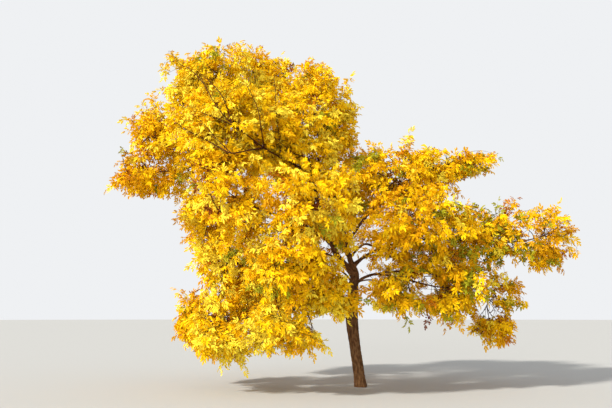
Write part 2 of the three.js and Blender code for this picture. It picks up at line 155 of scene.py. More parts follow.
# The rule by which the masses of leaves grow.
SPACE_GAP = 0.012  # kept clear between two masses, on each side
GROUND_GAP = 0.15
STEM_FEET = 9  # places on the stem where a twig can leave it
STEM_PAIR = 0.09  # from the stem's end to its pair of side sprays
TWIGS = 5  # that the frame's solids have
SPOT_SPREAD = 0.48  # how far out those twigs end, as a share of the mass's half-size
FINE_TWIGS = 7  # that go further out
FINE_SPREAD = 0.8
MOST_SPOTS = 900
TWIG_FORK = 0.45  # where a twig can bear another twig
TWIG_PAIR = 0.6  # where a twig bears its pair of side sprays
SPRAY_ROOT = 0.015
SPRAY_LENGTH = 1.2  # as a share of its mass's mean half-size
FINE_SPRAY_LENGTH = 0.7
SPRAY_FITS = [1, 0.88, 0.76, 0.64, 0.52, 0.4]  # lengths tried in turn, as shares
SPRAY_SWING = 2.2  # how far the sprays of a mass are turned about their twigs, in radians
SPRAY_SPLAY = 1.05  # angle of a side spray from its twig, in radians
SPRAY_DROOP = 0.6
SPRAY_OUTWARD = 0.7
SPRAY_OVER = 1.13  # how far a spray may reach, as a share of the mass's half-size
SPRAY_PROBES = [0.5, 0.8, 1]  # where along it that is looked at
SPRAY_ARCH = 0.1

GOLDEN = 0.6180339887498949
EVEN_STEPS = np.array([0.8191725133961645, 0.6710436067037893, 0.5497004779019703])  # fill a box evenly
NEAR = 1e-4  # how far along a line its way is looked for, to each hand
TINY = 1e-12
LENGTH_STEPS = 200  # in which a line is measured


def unit(vectors):
    """The same vectors at length 1."""
    return vectors / np.maximum(np.linalg.norm(vectors, axis=-1, keepdims=True), TINY)


def turned(vector, axis, angle):
    """A vector turned about an axis of length 1, to which it is square."""
    return vector * math.cos(angle) + np.cross(axis, vector) * math.sin(angle)


class Course:
    """A smooth line, read by its share from 0 at its foot to 1 at its end."""

    def __init__(self, points, handles=False):
        """With handles, the two middle ones of four points only steer the line."""
        self.points = np.array(points, float)
        self.handles = handles

    def at(self, share):
        share = np.asarray(share, float)[..., None]
        if self.handles:
            a, b, c, d = self.points
            left = 1 - share
            return left**3 * a + 3 * left**2 * share * b + 3 * left * share**2 * c + share**3 * d
        points = self.points
        spans = len(points) - 1
        ends = np.vstack([2 * points[0] - points[1], points, 2 * points[-1] - points[-2]])
        span = np.clip(np.floor(share[..., 0] * spans).astype(int), 0, spans - 1)
        t = share * spans - span[..., None]
        before, start, end, after = (ends[span + k] for k in range(4))
        leave, enter = (end - before) / 2, (after - start) / 2
        square = 3 * (end - start) - 2 * leave - enter
        cube = 2 * (start - end) + leave + enter
        return start + leave * t + square * t**2 + cube * t**3

    def way(self, share):
        share = np.asarray(share, float)
        return unit(self.at(np.clip(share + NEAR, 0, 1)) - self.at(np.clip(share - NEAR, 0, 1)))

    def length(self):
        steps = self.at(np.linspace(0, 1, LENGTH_STEPS + 1))
        return np.linalg.norm(np.diff(steps, axis=0), axis=1).sum()


@dataclass(eq=False)
class Limb:
    """A limb and the mass of leaves that it runs into: the mass's heart and half-sizes, the limb that it
    grows from and how far along, and the slope at which it enters its mass, or the line that it follows."""

    name: str
    heart: tuple
    half: tuple
    parent: str = ""
    along: float = 0.0
    rise: float = 0.0
    line: tuple = ()

    def __post_init__(self):
        self.heart = np.array(self.heart, float)
        self.half = np.array(self.half, float)
        self.mean_half = float(np.prod(self.half) ** (1 / 3))
        self.tip = TIP_GIRTH * self.mean_half / USUAL_HALF


LIMBS = [
    Limb("top_right", (-1.05, -0.2, 6.65), (0.72, 1, 0.85), line=TRUNK_LINE),
    Limb("upper_left", (-3.78, 0.3, 6.82), (0.84, 1.1, 0.84), "top_right", 0.44, line=LEFT_LEADER_LINE),
    Limb("top_left", (-3.05, -0.5, 6.98), (0.9, 1.1, 0.86), "upper_left", 0.66, rise=1.6),
    Limb("top", (-2.1, 0.6, 7.1), (0.95, 1.1, 0.93), "upper_left", 0.5, rise=1.7),
    Limb("right_shoulder", (-0.52, 0.3, 6.15), (0.55, 1, 0.95), "top_right", 0.8, rise=1.6),
    Limb("upper_middle", (-1.3, -0.9, 5.55), (1.05, 1.05, 1.08), "top_right", 0.7, rise=0.7),
    Limb("upper_front", (-2.7, -1.95, 5.45), (1.1, 1.1, 1.08), "upper_left", 0.44, rise=0.5),
    Limb("upper_back", (-2.7, 2.05, 6), (1.3, 1.25, 1.2), "upper_left", 0.55, rise=0.6),
    Limb("left_upper", (-4.3, -0.1, 5.65), (1.03, 1.15, 0.97), "upper_left", 0.58, rise=0.1),
    Limb("far_left", (-4.78, -0.25, 4.85), (0.98, 1.1, 0.72), "left_upper", 0.42, rise=0.2),
    Limb("left_back", (-3.4, 1.9, 4.02), (1.15, 1.35, 1.2), "upper_left", 0.24, rise=0.3),
    Limb("left_low", (-2.8, -0.45, 2.7), (0.93, 1.2, 0.95), "upper_left", 0.12, line=LEFT_LOW_LINE),
    Limb("front_left", (-2.6, -2.55, 3.85), (1.08, 1.15, 1.03), "upper_left", 0.2, rise=0.3),
    Limb("front_middle", (-1.15, -2.85, 3.7), (1.08, 1.15, 0.97), "top_right", 0.56, rise=0.25),
    Limb("front_low", (-1.52, -2.65, 2.55), (0.98, 1.08, 0.75), "top_right", 0.37, rise=0.05),
    Limb("near_trunk", (-0.7, -1.75, 1.93), (0.56, 0.8, 0.52), "top_right", 0.33, rise=-0.25),
    Limb("low_left", (-2.86, -1.25, 1.35), (0.88, 1.1, 0.87), "top_right", 0.29, rise=-0.45),
    Limb("low_middle", (-1.62, -1.9, 1.54), (0.9, 1.08, 0.78), "low_left", 0.35, rise=-0.3),
    Limb("low_left_tip", (-3.52, 0.15, 1.43), (0.66, 1.08, 0.82), "low_left", 0.45, rise=-0.3),
    Limb("back_low", (-2.1, 2.35, 2.25), (1.3, 1.25, 1.02), "top_right", 0.36, rise=0.05),
    Limb("back_middle", (-0.85, 3.15, 4.25), (1.3, 1.25, 1.25), "top_right", 0.52, rise=0.4),
    Limb("back_right", (0, 2.1, 5.1), (1.3, 1.25, 1.08), "top_right", 0.64, rise=0.6),
    Limb("right_tip", (2.05, 0, 5.03), (1.2, 0.95, 0.4), "top_right", 0.6, rise=0.2),
    Limb("right_upper", (0.78, -0.45, 4.55), (1.22, 1.25, 0.88), "right_tip", 0.3, rise=0.5),
    Limb("right_far", (3.05, 0, 3.38), (1.08, 1.2, 0.82), "top_right", 0.5, rise=0.12),
    Limb("far_right", (4.25, 0.2, 3.38), (0.8, 0.9, 0.88), "right_far", 0.55, rise=0.35),
    Limb("right_middle", (1.2, -1.5, 3.45), (1.26, 1.2, 0.93), "top_right", 0.55, line=RIGHT_MIDDLE_LINE),
    Limb("right_low_far", (2.93, -0.05, 1.9), (0.7, 1, 1.06), "top_right", 0.37, line=RIGHT_LOW_LINE),
    Limb("right_low", (1.75, -1, 2.15), (1.03, 1.08, 0.8), "right_low_far", 0.3, rise=-0.1),
    Limb("fork_right", (0.6, -1.6, 2.12), (0.66, 0.9, 0.55), "right_low_far", 0.08, rise=-0.15),
    Limb("right_low_back", (1.8, 2.1, 2.9), (1.38, 1.25, 1), "right_far", 0.1, rise=0.15),
]
SPRIGS = [  # a mass, and the places that some of its sprays reach out to
    ("upper_left", [(-4.42, -0.2, 7.62), (-4.79, 0.2, 6.95)]),
    ("left_upper", [
        (-5.39, -0.2, 5.86), (-5.2, 0.3, 6.43), (-4.9, 0, 6.75), (-5.1, 0, 6.5), (-5.45, -0.1, 6.15),
    ]),
    ("far_left", [(-5.76, -0.3, 4.47)]),
    ("top_left", [(-3.83, -0.5, 7.63), (-2.5, -1.3, 6.35)]),
    ("top", [(-2.2, -1, 6.45)]),
    ("upper_middle", [(-2.25, -1.4, 6.15), (-1.9, -1.6, 6.4)]),
    ("upper_front", [(-2.35, -1.7, 6.3)]),
    ("top", [
        (-2.83, 0.3, 8), (-2.5, 0.4, 8.01), (-2.26, 0.3, 7.99), (-2.62, -0.2, 7.92), (-1.86, 0.6, 7.95),
    ]),
    ("top_right", [(-1.06, -0.2, 7.5)]),
    ("right_shoulder", [(-0.18, 0.2, 7.25), (-0.05, 0.2, 6.55)]),
    ("right_upper", [(1.15, -0.4, 5.75), (0.3, -0.4, 5.45), (-0.02, -0.4, 5.36)]),
    ("right_tip", [(3.25, 0, 5.29), (2.16, -0.3, 4.27)]),
    ("right_upper", [(2.3, -0.3, 4.35)]),
    ("right_far", [(3.2, 0, 4.2), (2.79, 0, 4.05), (3.61, 0, 4.29)]),
    ("far_right", [(4.62, 0.2, 4.16), (5.01, 0.2, 3.64), (5.05, 0.2, 3.35), (4.7, 0.2, 2.69)]),
    ("right_low_far", [(3.45, 0, 1.1), (2.8, 0, 0.95)]),
    ("right_low", [(1.71, -1, 1.35), (1.29, -1, 1.42), (2.1, -0.9, 1.35)]),
    ("right_middle", [
        (0.18, -1.3, 2.68), (0.38, -1.9, 3.08), (0.02, -1.2, 2.95), (0.3, -0.9, 3.22), (0.1, -1, 3.4),
    ]),
    ("front_low", [(-0.55, -2, 2.63)]),
    ("front_middle", [(-0.42, -1.6, 2.95)]),
    ("front_low", [(-0.36, -1.7, 2.62), (-0.42, -1.8, 2.3), (-0.85, -2, 2.75)]),
    ("fork_right", [(0.9, -1.5, 1.4)]),
    ("near_trunk", [(-0.11, -1.7, 1.92), (-0.02, -1.7, 1.78), (-0.13, -1.7, 1.7), (-0.38, -1.7, 1.55)]),
    ("left_back", [(-4.48, 1.7, 4.27)]),
    ("left_low", [(-3.8, -0.4, 2.74)]),
    ("low_left", [(-2.95, -1.2, 0.5)]),
    ("low_left_tip", [(-4.12, 0.1, 2.2), (-3.85, 0.1, 2.32), (-4.18, 0.1, 1.18)]),
    ("low_middle", [(-0.75, -1.9, 0.95)]),
    ("low_left", [(-2.45, -1.2, 0.5)]),
    ("low_middle", [(-1.05, -1.9, 0.78), (-1.95, -2.2, 0.95)]),
]
SKY_HOLES = [  # places where the sky shows through the crown, and how wide and high each hole is, half
    ((1.46, 0, 2.24), (0.48, 0.26)),
    ((2.92, 0, 1.69), (0.36, 0.21)),
    ((3.98, 0, 3.46), (0.25, 0.11)),
    ((4.6, 0, 3.12), (0.3, 0.14)),
    ((3.42, 0, 2.72), (0.27, 0.3)),
    ((0.08, -1, 1.87), (0.16, 0.26)),
    ((-0.88, -1.6, 1.42), (0.34, 0.24)),
    ((0.66, 0, 2.82), (0.24, 0.1)),
    ((-0.74, 0, 3.16), (0.21, 0.17)),
    ((-4.38, 0, 7.25), (0.2, 0.3)),
    ((-5.7, 0, 5.2), (0.3, 0.36)),
    ((-4.9, 0, 4.16), (0.55, 0.16)),
    ((-3.74, 0, 2.38), (0.22, 0.2)),
    ((2.72, 0, 4.68), (0.5, 0.14)),
    ((2.5, 0, 1.04), (0.22, 0.16)),
]
HOLE_BARE = 0.92  # of the shoots in a hole are left out
SPRIG_REACH = 3  # how far the growth of such a spray may reach, as a share of the half-sizes
SIDE_REACH = 1.35  # the same of the sprays that a bough bears
SPRIG_ARCH = 0.08
SPRIG_LEAVES = 0.28  # from the end of such a spray to the tips of its last leaves
# The tone of each mass is partly its own autumn tint and partly painted light: the pale tone paints the
# sunlit upper masses brighter, and the honey, amber and olive tones paint the shaded right and low right
# darker.
TONES = {
    "pale": ["upper_left", "top_left", "top", "upper_front", "top_right", "upper_middle"],
    "lemon": ["left_low", "low_left", "low_middle", "right_shoulder"],
    "honey": ["right_upper", "right_middle", "fork_right", "back_right", "low_left_tip", "right_tip"],
    "amber": ["right_low_far", "right_low", "right_low_back", "far_left", "far_right"],
    "olive": ["right_far"],
}
BARE_SHARES = {  # how much of a mass bears no leaves: on the near side, and on the far side
    "upper_left": (0.12, 0.2),
    "top_left": (0.1, 0.15),
    "top": (0.1, 0.15),
    "upper_front": (0.06, 0.1),
    "left_upper": (0.2, 0.15),
    "far_left": (0.2, 0.15),
    "top_right": (0.15, 0.1),
    "right_shoulder": (0.1, 0.1),
    "right_tip": (0.1, 0.1),
    "right_far": (0.2, 0.2),
    "far_right": (0.35, 0.35),
    "right_low_far": (0.3, 0.3),
    "right_low": (0.2, 0.2),
    "right_low_back": (0.25, 0.25),
}
LAYERED = [
    "right_tip", "right_far", "far_right", "right_low_far", "right_low", "fork_right", "right_low_back",
]
USUAL_BARE = (0.05, 0.03)
TRUNK = LIMBS[0]
NAMED = {limb.name: limb for limb in LIMBS}
HEARTS = np.array([limb.heart for limb in LIMBS])
HALVES = np.array([limb.half for limb in LIMBS])
POWERS = np.array([limb.mean_half**2 for limb in LIMBS])


def in_space(mass, places, stretch=1.0):
    """Which places lie in the mass's own space: its egg, above the ground, on its side of its neighbours.
    The stretch is one share for all of them, or one for each."""
    places = np.atleast_2d(places)
    own = LIMBS.index(mass)
    off = np.linalg.norm((places - mass.heart) / mass.half, axis=1)
    powers = ((places[:, None] - HEARTS) ** 2).sum(axis=2) - POWERS
    apart = np.linalg.norm(HEARTS - mass.heart, axis=1)
    others = np.arange(len(LIMBS)) != own
    side = (powers[:, others] - powers[:, [own]]) / (2 * apart[others])
    return (off <= stretch) & (places[:, 2] >= GROUND_GAP) & (side > SPACE_GAP).all(axis=1)


def course_of(limb):
    """The line of a limb, from the middle of what it grows from to the heart of its own mass."""
    if limb is TRUNK:
        return Course([*limb.line, limb.heart])
    parent = NAMED[limb.parent]
    start = parent.course.at(limb.along)
    if limb.line:
        return Course([start, *limb.line, limb.heart])
    way = limb.heart - start
    reach = np.linalg.norm(way)
    leave = unit(parent.course.way(limb.along) * FOLLOW + way / reach)
    enter = unit(unit(way * (1, 1, 0)) + UP * limb.rise)
    handles = [start + leave * reach * BEND, limb.heart - enter * reach * BEND]
    return Course([start, *handles, limb.heart], handles=True)


def girth_at(limb, share):
    """The radius of a limb: as stout as its tip and the side limbs beyond that place need between them."""
    total = limb.tip**PIPE_POWER
    for side in LIMBS:
        if side.parent == limb.name:
            beyond = np.clip((side.along + FORK_SPAN - share) / (2 * FORK_SPAN), 0, 1)
            total = total + beyond * girth_at(side, 0.0) ** PIPE_POWER
    return total ** (1 / PIPE_POWER) * (1 + TAPER * (1 - share))


@lru_cache(maxsize=1)
def grown_limbs():
    """The limbs, each with its course, the share where it enters its mass, and its mass's seeds."""
    shares = np.arange(ENTRY_STEPS + 1) / ENTRY_STEPS
    for number, limb in enumerate(LIMBS, start=1):
        limb.course = course_of(limb)
        inside = in_space(limb, limb.course.at(shares), BOUGH_END)
        outside = np.flatnonzero(~inside)
        limb.entry = (outside[-1] + 1 if len(outside) else 1) / ENTRY_STEPS
        limb.seeds = np.array([number * GOLDEN * k % 1 for k in (1, 2, 3)])
    return LIMBS


# What the finer growth of this scene adds to that rule.
SHOOT_SEED = 7
SHOOT_FIRST = 0.08  # from a spray's foot to its first pair of shoots
SHOOT_STEP = 0.17  # between two pairs
SHOOT_SPLAY = 0.85  # angle of a shoot from its spray, in radians
SHOOT_SPLAYS = (0.75, 1.25)  # and how it varies, as shares
SHOOT_LENGTHS = (0.7, 1.2)  # how the length of a shoot varies, as shares
SHOOT_ROLL = 0.55  # how far a spray is turned out of the level, in radians, give or take
SHOOT_THIN = 0.4  # how much shorter the shoots at a spray's end are
SHOOT_SAG = 0.1
EXPOSURE_REACH = 0.75  # how near the open air a shoot is well lit
INNER_SHARE = 0.2  # of the shoots deep in the crown bear leaves
OPEN_GAIN = 3.6  # and how much faster than the open share about it a shoot's chance rises
REACHES = (0.88, 1.12)  # how far the growth of a spray may reach, as a share of the half-sizes
SHOOT_PAST = 0.1  # how far the leaves reach past the end of a shoot
LEAF_PAST = 0.1  # how much further than its spray's shoots a leaf may reach, as a share of the half-sizes
WOOD_GAP = 0.02  # kept clear between a leaf and a limb
TWIG_GAP = 0.05  # kept bare round a twig
FAN_GAP = 0.05  # kept bare before a long twig of the near side, to each hand
SHOWN_LIMBS = {  # the limbs that show before the leaves: from where, to where, and the gap to each hand
    "top_right": (0.39, 0.53, 0.12),
    "right_low_far": (0, 0.5, 0.1),
}
FAN_BARE = 0.93  # of the leaves there are shed
FAN_STEPS = 120
WOOD_STEP = 0.04  # between two places on a limb or a twig that a leaf is measured from
PATCH = np.array([0.5, 0.5, 0.4])  # the usual size of a patch of foliage
LAYER = np.array([1.0, 1.0, 0.3])  # of a patch that lies level
PATCH_SHIFT = 10  # how far apart the patches of two masses are taken from the noise
BOUGH_BARE = 0.4  # how far along a bough its first side spray is, as a share
FAN_FOOT = 0.15  # the same of a long twig of the near side
SIDE_STEP = 0.24  # between two of those sprays
SIDE_LENGTH = 0.65
SIDE_FORWARD = 0.5  # how far they lean towards the bough's tip
SIDE_RISE = 0.7  # and up or down
AWAY = np.array([0.0, 1.5, 0.0])  # and away from the viewer, on the long twigs
LEADER_RISE = 0.35  # how much the leader of a mass turns up past its heart
LEADER_LENGTH = 0.8  # of a leader, as a share of its mass's mean half-size


@dataclass(eq=False)
class Spray:
    """A side branch of a mass with leafy shoots on both sides: the three points that steer its line, its
    length, and how far along it its last shoot is, as a share."""

    mass: Limb
    steer: np.ndarray
    length: float
    borne: float = 0.0


def spots_of(mass):
    """Spots spread evenly through a mass's space: those of the solids' twigs, and the finer twigs' ones."""
    near, fine = [], []
    start = mass.course.at(mass.entry + (1 - mass.entry) / STEM_FEET)
    for n in range(1, MOST_SPOTS):
        q = 2 * ((mass.seeds + n * EVEN_STEPS) % 1) - 1
        if len(near) < TWIGS:
            kept, spread, most = near, SPOT_SPREAD, TWIGS
        else:
            kept, spread, most = fine, FINE_SPREAD, FINE_TWIGS
        spot = q * mass.half * spread + mass.heart
        if len(kept) < most and np.linalg.norm(q) < 1 and in_space(mass, spot)[0]:
            kept.append(spot)
        if len(fine) == FINE_TWIGS:
            break
    return [sorted(kept, key=lambda spot: np.linalg.norm(spot - start)) for kept in (near, fine)]


def spray_ways(mass, end, way, turn):
    """The ways that the sprays at the end of a twig, and of the pair beside it, point."""
    outward = (end - mass.heart) / mass.mean_half
    last = way + outward * SPRAY_OUTWARD - UP * SPRAY_DROOP
    side = unit(np.cross(way, UP))
    side = turned(side, way, ((mass.seeds[1] + turn * GOLDEN) % 1 - 0.5) * SPRAY_SWING)
    pair = [
        way * math.cos(SPRAY_SPLAY) + side * hand * math.sin(SPRAY_SPLAY) - UP * SPRAY_DROOP / 2
        for hand in (1, -1)
    ]
    return [unit(one) for one in (last, *pair)]


def fitting_spray(mass, root, leave, way, usual):
    """The longest spray, of those tried, that stays in its mass's space, or None."""
    for fit in SPRAY_FITS:
        length = usual * mass.mean_half * fit
        end = root + way * length - UP * SPRAY_ARCH * length
        steer = np.array([root, root + unit(leave + way) * length / 2, end])
        if in_space(mass, bent(steer[None], SPRAY_PROBES)[0], SPRAY_OVER).all():
            return Spray(mass, steer, length)
    return None


def bent(steers, shares):
    """Places at some shares of each of many lines that three points steer: (lines, shares, 3)."""
    t = np.asarray(shares, float)[None, :, None]
    a, b, c = (steers[:, None, k] for k in range(3))
    return (1 - t) ** 2 * a + 2 * t * (1 - t) * b + t**2 * c


def bent_ways(steers, shares):
    """The ways of those lines there."""
    t = np.asarray(shares, float)[None, :, None]
    a, b, c = (steers[:, None, k] for k in range(3))
    return unit((1 - t) * (b - a) + t * (c - b))


def grow_mass(mass):
    """The twigs of one mass, each as three steering points, and its sprays."""
    shares = mass.entry + (1 - mass.entry) * np.arange(1, STEM_FEET + 1) / STEM_FEET
    feet = list(zip(mass.course.at(shares), mass.course.way(shares)))
    tip, tip_way = feet[-1]
    twigs, bearers = [], []
    near, fine = spots_of(mass)
    for spot, usual in [(s, SPRAY_LENGTH) for s in near] + [(s, FINE_SPRAY_LENGTH) for s in fine]:
        nearest = min(range(len(feet)), key=lambda k: np.linalg.norm(feet[k][0] - spot))
        foot, foot_way = feet[nearest]
        way = unit(spot - foot)
        reach = np.linalg.norm(spot - foot)
        steer = np.array([foot, foot + unit(way + foot_way * FOLLOW) * reach / 2, spot])
        twigs.append(steer)
        fork, pair_at = bent(steer[None], [TWIG_FORK, TWIG_PAIR])[0]
        feet[nearest] = (fork, way)
        if usual == FINE_SPRAY_LENGTH:
            feet.append((spot, way))
        bearers.append((spot, pair_at, way, usual))
    bearers.insert(len(near), (tip, tip - tip_way * STEM_PAIR, tip_way, SPRAY_LENGTH))
    reach = LEADER_LENGTH * mass.mean_half
    end = tip + unit(tip_way + UP * LEADER_RISE) * reach
    if in_space(mass, end)[0]:
        twigs.append(np.array([tip, tip + tip_way * reach / 2, end]))
        bearers.append((end, tip + (end - tip) * TWIG_PAIR, unit(end - tip), FINE_SPRAY_LENGTH))
    sprays, turn = [], 0
    for end, pair_at, way, usual in bearers:
        roots = [end - way * SPRAY_ROOT, pair_at, pair_at]
        for root, spray_way in zip(roots, spray_ways(mass, end, way, turn)):
            turn += 1
            spray = fitting_spray(mass, root, way, spray_way, usual)
            if spray:
                sprays.append(spray)
    return twigs, sprays


def grown_sprigs():
    """The sprays that reach out of the outline, each from its mass's heart."""
    sprigs = []
    for name, tips in SPRIGS:
        heart = NAMED[name].heart
        for way in tips - heart:
            length = np.linalg.norm(way) - SPRIG_LEAVES
            middle = heart + unit(way) * length / 2 + UP * SPRIG_ARCH * length
            steer = np.array([heart, middle, heart + unit(way) * length])
            sprigs.append(Spray(NAMED[name], steer, length))
    return sprigs


def side_sprays():
    """The sprays that the boughs bear outside the masses, and the long twigs of the near side behind them."""
    sprays = []
    boughs = [limb for limb in grown_limbs() if limb is not TRUNK]
    bearers = [(limb.course, limb, BOUGH_BARE, limb.entry, None) for limb in boughs]
    bearers += [(course, None, FAN_FOOT, 1, AWAY) for course in fan_courses()]
    for course, mass, first, last, lean in bearers:
        steps = np.arange(first, last, SIDE_STEP / course.length())
        for number, (place, way) in enumerate(zip(course.at(steps), course.way(steps))):
            hand = 1 - 2 * (number % 2)
            side = unit(np.cross(way, UP))
            out = lean if lean is not None else UP * (SIDE_RISE if number % 4 < 2 else -SIDE_RISE)
            out = unit(way * SIDE_FORWARD + side * hand + out)
            middle = place + out * SIDE_LENGTH / 2
            end = place + (out - UP * SPRAY_ARCH) * SIDE_LENGTH
            steer = np.array([place, middle, end])
            sprays.append(Spray(mass or nearest_mass(place), steer, SIDE_LENGTH))
    return sprays


def nearest_mass(place):
    """The mass whose egg lies nearest to a place, for its size."""
    return LIMBS[int(np.argmin(np.linalg.norm((place - HEARTS) / HALVES, axis=1)))]


def open_share(places):
    """How much of what lies round each place, a little way off, is outside every mass."""
    steps = (-1.0, 0.0, 1.0)
    probes = np.array([(x, y, z) for x in steps for y in steps for z in steps if x or y or z])
    probes = unit(probes) * EXPOSURE_REACH
    covered = np.zeros((len(places), len(probes)), bool)
    for heart, half in zip(HEARTS, HALVES):
        off = (places[:, None] + probes - heart) / half
        covered |= (off**2).sum(axis=2) < 1
    return 1 - covered.mean(axis=1)


def in_masses(places, reaches):
    """Which places lie in the space that the masses fill between them, each with its own reach."""
    off = [np.linalg.norm((places - heart) / half, axis=1) for heart, half in zip(HEARTS, HALVES)]
    return (np.min(off, axis=0) <= reaches) & (places[:, 2] >= GROUND_GAP)


def tree_of(places):
    """A tree that finds the nearest of some places, and its number."""
    tree = kdtree.KDTree(len(places))
    for number, place in enumerate(places):
        tree.insert(place, number)
    tree.balance()
    return tree


def clear_of_wood(places, twigs):
    """Which places lie clear of every limb and twig."""
    wood, gaps = [], []
    for limb in grown_limbs():
        shares = np.linspace(0, 1, round(limb.course.length() / WOOD_STEP) + 1)
        wood.append(limb.course.at(shares))
        gaps.append(girth_at(limb, shares) + WOOD_GAP)
    for steer in twigs:
        steps = round(np.linalg.norm(steer[2] - steer[0]) / WOOD_STEP) + 1
        wood.append(bent(steer[None], np.linspace(0, 1, steps + 1))[0])
        gaps.append(np.full(steps + 1, TWIG_GAP))
    gaps = np.concatenate(gaps)
    tree = tree_of(np.concatenate(wood))
    found = [tree.find(place) for place in places]
    return np.array([away > gaps[number] for _, number, away in found])


def fan_courses():
    """The courses of the long twigs of the near side."""
    courses = {limb.name: limb.course for limb in grown_limbs()}
    for name, (bearer, along, _, line) in FAN.items():
        courses[name] = Course([courses[bearer].at(along), *line])
    return [courses[name] for name in FAN]


def before_shown(places):
    """Which places lie before a long twig of the near side, or a limb that shows, as the viewer sees them."""
    shown = [(course, 0, 1, FAN_GAP) for course in fan_courses()]
    shown += [(NAMED[name].course, *stretch) for name, stretch in SHOWN_LIMBS.items()]
    lines = [course.at(np.linspace(first, last, FAN_STEPS)) for course, first, last, _ in shown]
    bare = np.repeat([half for _, _, _, half in shown], FAN_STEPS)
    seen, away = as_seen(np.concatenate(lines))
    tree = tree_of([(across, up, 0) for across, up in seen])
    hidden = []
    for (across, up), depth in zip(*as_seen(places)):
        _, nearest, gap = tree.find((across, up, 0))
        hidden.append(gap * depth < bare[nearest] and depth < away[nearest])
    return np.array(hidden)


def as_seen(places):
    """Where places are in the viewer's picture, at a distance of 1, and how far off they are."""
    away = places[:, 1] - VIEWER[1]
    return (places - VIEWER)[:, [0, 2]] / away[:, None], away


def in_holes(places):
    """Which places lie before or behind a hole where the sky shows, as the viewer sees them."""
    seen, away = as_seen(places)
    hidden = np.zeros(len(places), bool)
    for place, halves in SKY_HOLES:
        hole, _ = as_seen(np.array([place]))
        off = (seen - hole) * away[:, None] / halves
        hidden |= np.linalg.norm(off, axis=1) < 1
    return hidden


def foliage_ranks(places, sprays, owners):
    """Ranks each place in its mass from 0 to 1, so that places in one patch have like ranks."""
    masses = np.array([LIMBS.index(spray.mass) for spray in sprays])[owners]
    ranks = np.zeros(len(places))
    for number, mass in enumerate(LIMBS):
        own = np.flatnonzero(masses == number)
        patch = LAYER if mass.name in LAYERED else PATCH
        scaled = places[own] / patch + mass.seeds * PATCH_SHIFT
        swell = np.array([noise.noise(Vector(place)) for place in scaled])
        ranks[own[np.argsort(swell)]] = np.arange(len(own)) / max(1, len(own))
    return ranks


def shortened(steer, share):
    """The first part of a line that three points steer."""
    root, middle, _ = steer
    return np.array([root, root + (middle - root) * share, bent(steer[None], [share])[0, 0]])


@lru_cache(maxsize=1)
def grown_masses():
    """All twigs and sprays, how far each spray's growth may reach, and the shoots: each shoot's three
    steering points, its spray and its roll."""
    rng = np.random.default_rng(SHOOT_SEED)
    twigs, sprays = [], []
    for mass in grown_limbs():
        mass_twigs, mass_sprays = grow_mass(mass)
        twigs += mass_twigs
        sprays += mass_sprays
    sides = side_sprays()
    sprigs = grown_sprigs()
    sprays += sides + sprigs
    length = bpy.context.scene.maple_leaves.shoot_length
    shoots, owners, rolls = [], [], []
    for number, spray in enumerate(sprays):
        steps = np.arange(SHOOT_FIRST, spray.length, SHOOT_STEP) / spray.length
        places, ways = bent(spray.steer[None], steps)[0], bent_ways(spray.steer[None], steps)[0]
        roll = rng.normal(0, SHOOT_ROLL)
        for place, way, step in zip(places, ways, steps):
            side = turned(unit(np.cross(way, UP)), way, roll + rng.normal(0, SHOOT_ROLL / 2))
            for hand in (1, -1):
                splay = SHOOT_SPLAY * rng.uniform(*SHOOT_SPLAYS)
                out = way * math.cos(splay) + side * hand * math.sin(splay)
                reach = length * (1 - SHOOT_THIN * step) * rng.uniform(*SHOOT_LENGTHS)
                shoots.append([place, place + out * reach / 2, place + (out - UP * SHOOT_SAG) * reach])
                owners.append(number)
                rolls.append(roll)
        end, way = bent(spray.steer[None], [1])[0, 0], bent_ways(spray.steer[None], [1])[0, 0]
        shoots.append([end, end + way * length / 2, end + (way - UP * SHOOT_SAG) * length])
        owners.append(number)
        rolls.append(roll)
    shoots, owners, rolls = np.array(shoots), np.array(owners), np.array(rolls)
    reaches = rng.uniform(*REACHES, len(sprays))
    reaches[-len(sprigs) - len(sides) :] = SIDE_REACH
    reaches[-len(sprigs) :] = SPRIG_REACH
    sprigged = owners >= len(sprays) - len(sprigs)
    hearts = np.array([spray.mass.heart[1] for spray in sprays])[owners]
    shares = np.array([BARE_SHARES.get(spray.mass.name, USUAL_BARE) for spray in sprays])[owners]
    bare = np.where(shoots[:, 2, 1] < hearts, shares[:, 0], shares[:, 1])
    leafy = np.clip(INNER_SHARE + open_share(shoots[:, 2]) * OPEN_GAIN, 0, 1)
    past = shoots[:, 2] + unit(shoots[:, 2] - shoots[:, 1]) * SHOOT_PAST
    kept = (rng.uniform(size=len(shoots)) < leafy) & in_masses(past, reaches[owners])
    kept &= (foliage_ranks(shoots[:, 1], sprays, owners) >= bare) | sprigged
    kept &= ~(in_holes(shoots[:, 2]) & (rng.uniform(size=len(shoots)) < HOLE_BARE))
    shoots, owners, rolls = shoots[kept], owners[kept], rolls[kept]
    for number in np.unique(owners):
        spray = sprays[number]
        feet = np.linalg.norm(shoots[owners == number, 0] - spray.steer[0], axis=1)
        spray.borne = min(1, feet.max() / spray.length)
    return twigs, sprays, reaches, shoots, owners, rolls


# Meshes. A rod is a straight mesh that is bent along a limb, a twig or a shoot.
STEEP = 0.9  # a rod more upright than this has its first corner on the +Y side


@lru_cache(maxsize=None)
def rod(sides, parts):
    """A closed rod of that many sides and rings: its vertices' ring numbers, their places on the circle,
    and its faces."""
    bm = bmesh.new()
    middle = Matrix.Translation((0, 0, parts / 2))
    bmesh.ops.create_cone(
        bm, cap_ends=True, segments=sides, radius1=1, radius2=1, depth=parts, matrix=middle
    )
    upright = [edge for edge in bm.edges if abs(edge.verts[0].co.z - edge.verts[1].co.z) > 0.5]
    if parts > 1:
        bmesh.ops.subdivide_edges(bm, edges=upright, cuts=parts - 1)
    bmesh.ops.recalc_face_normals(bm, faces=bm.faces)
    bm.verts.index_update()
    places = np.array([vert.co for vert in bm.verts])
    faces = [[vert.index for vert in face.verts] for face in bm.faces]
    bm.free()
    return np.rint(places[:, 2]).astype(int), places[:, :2], faces


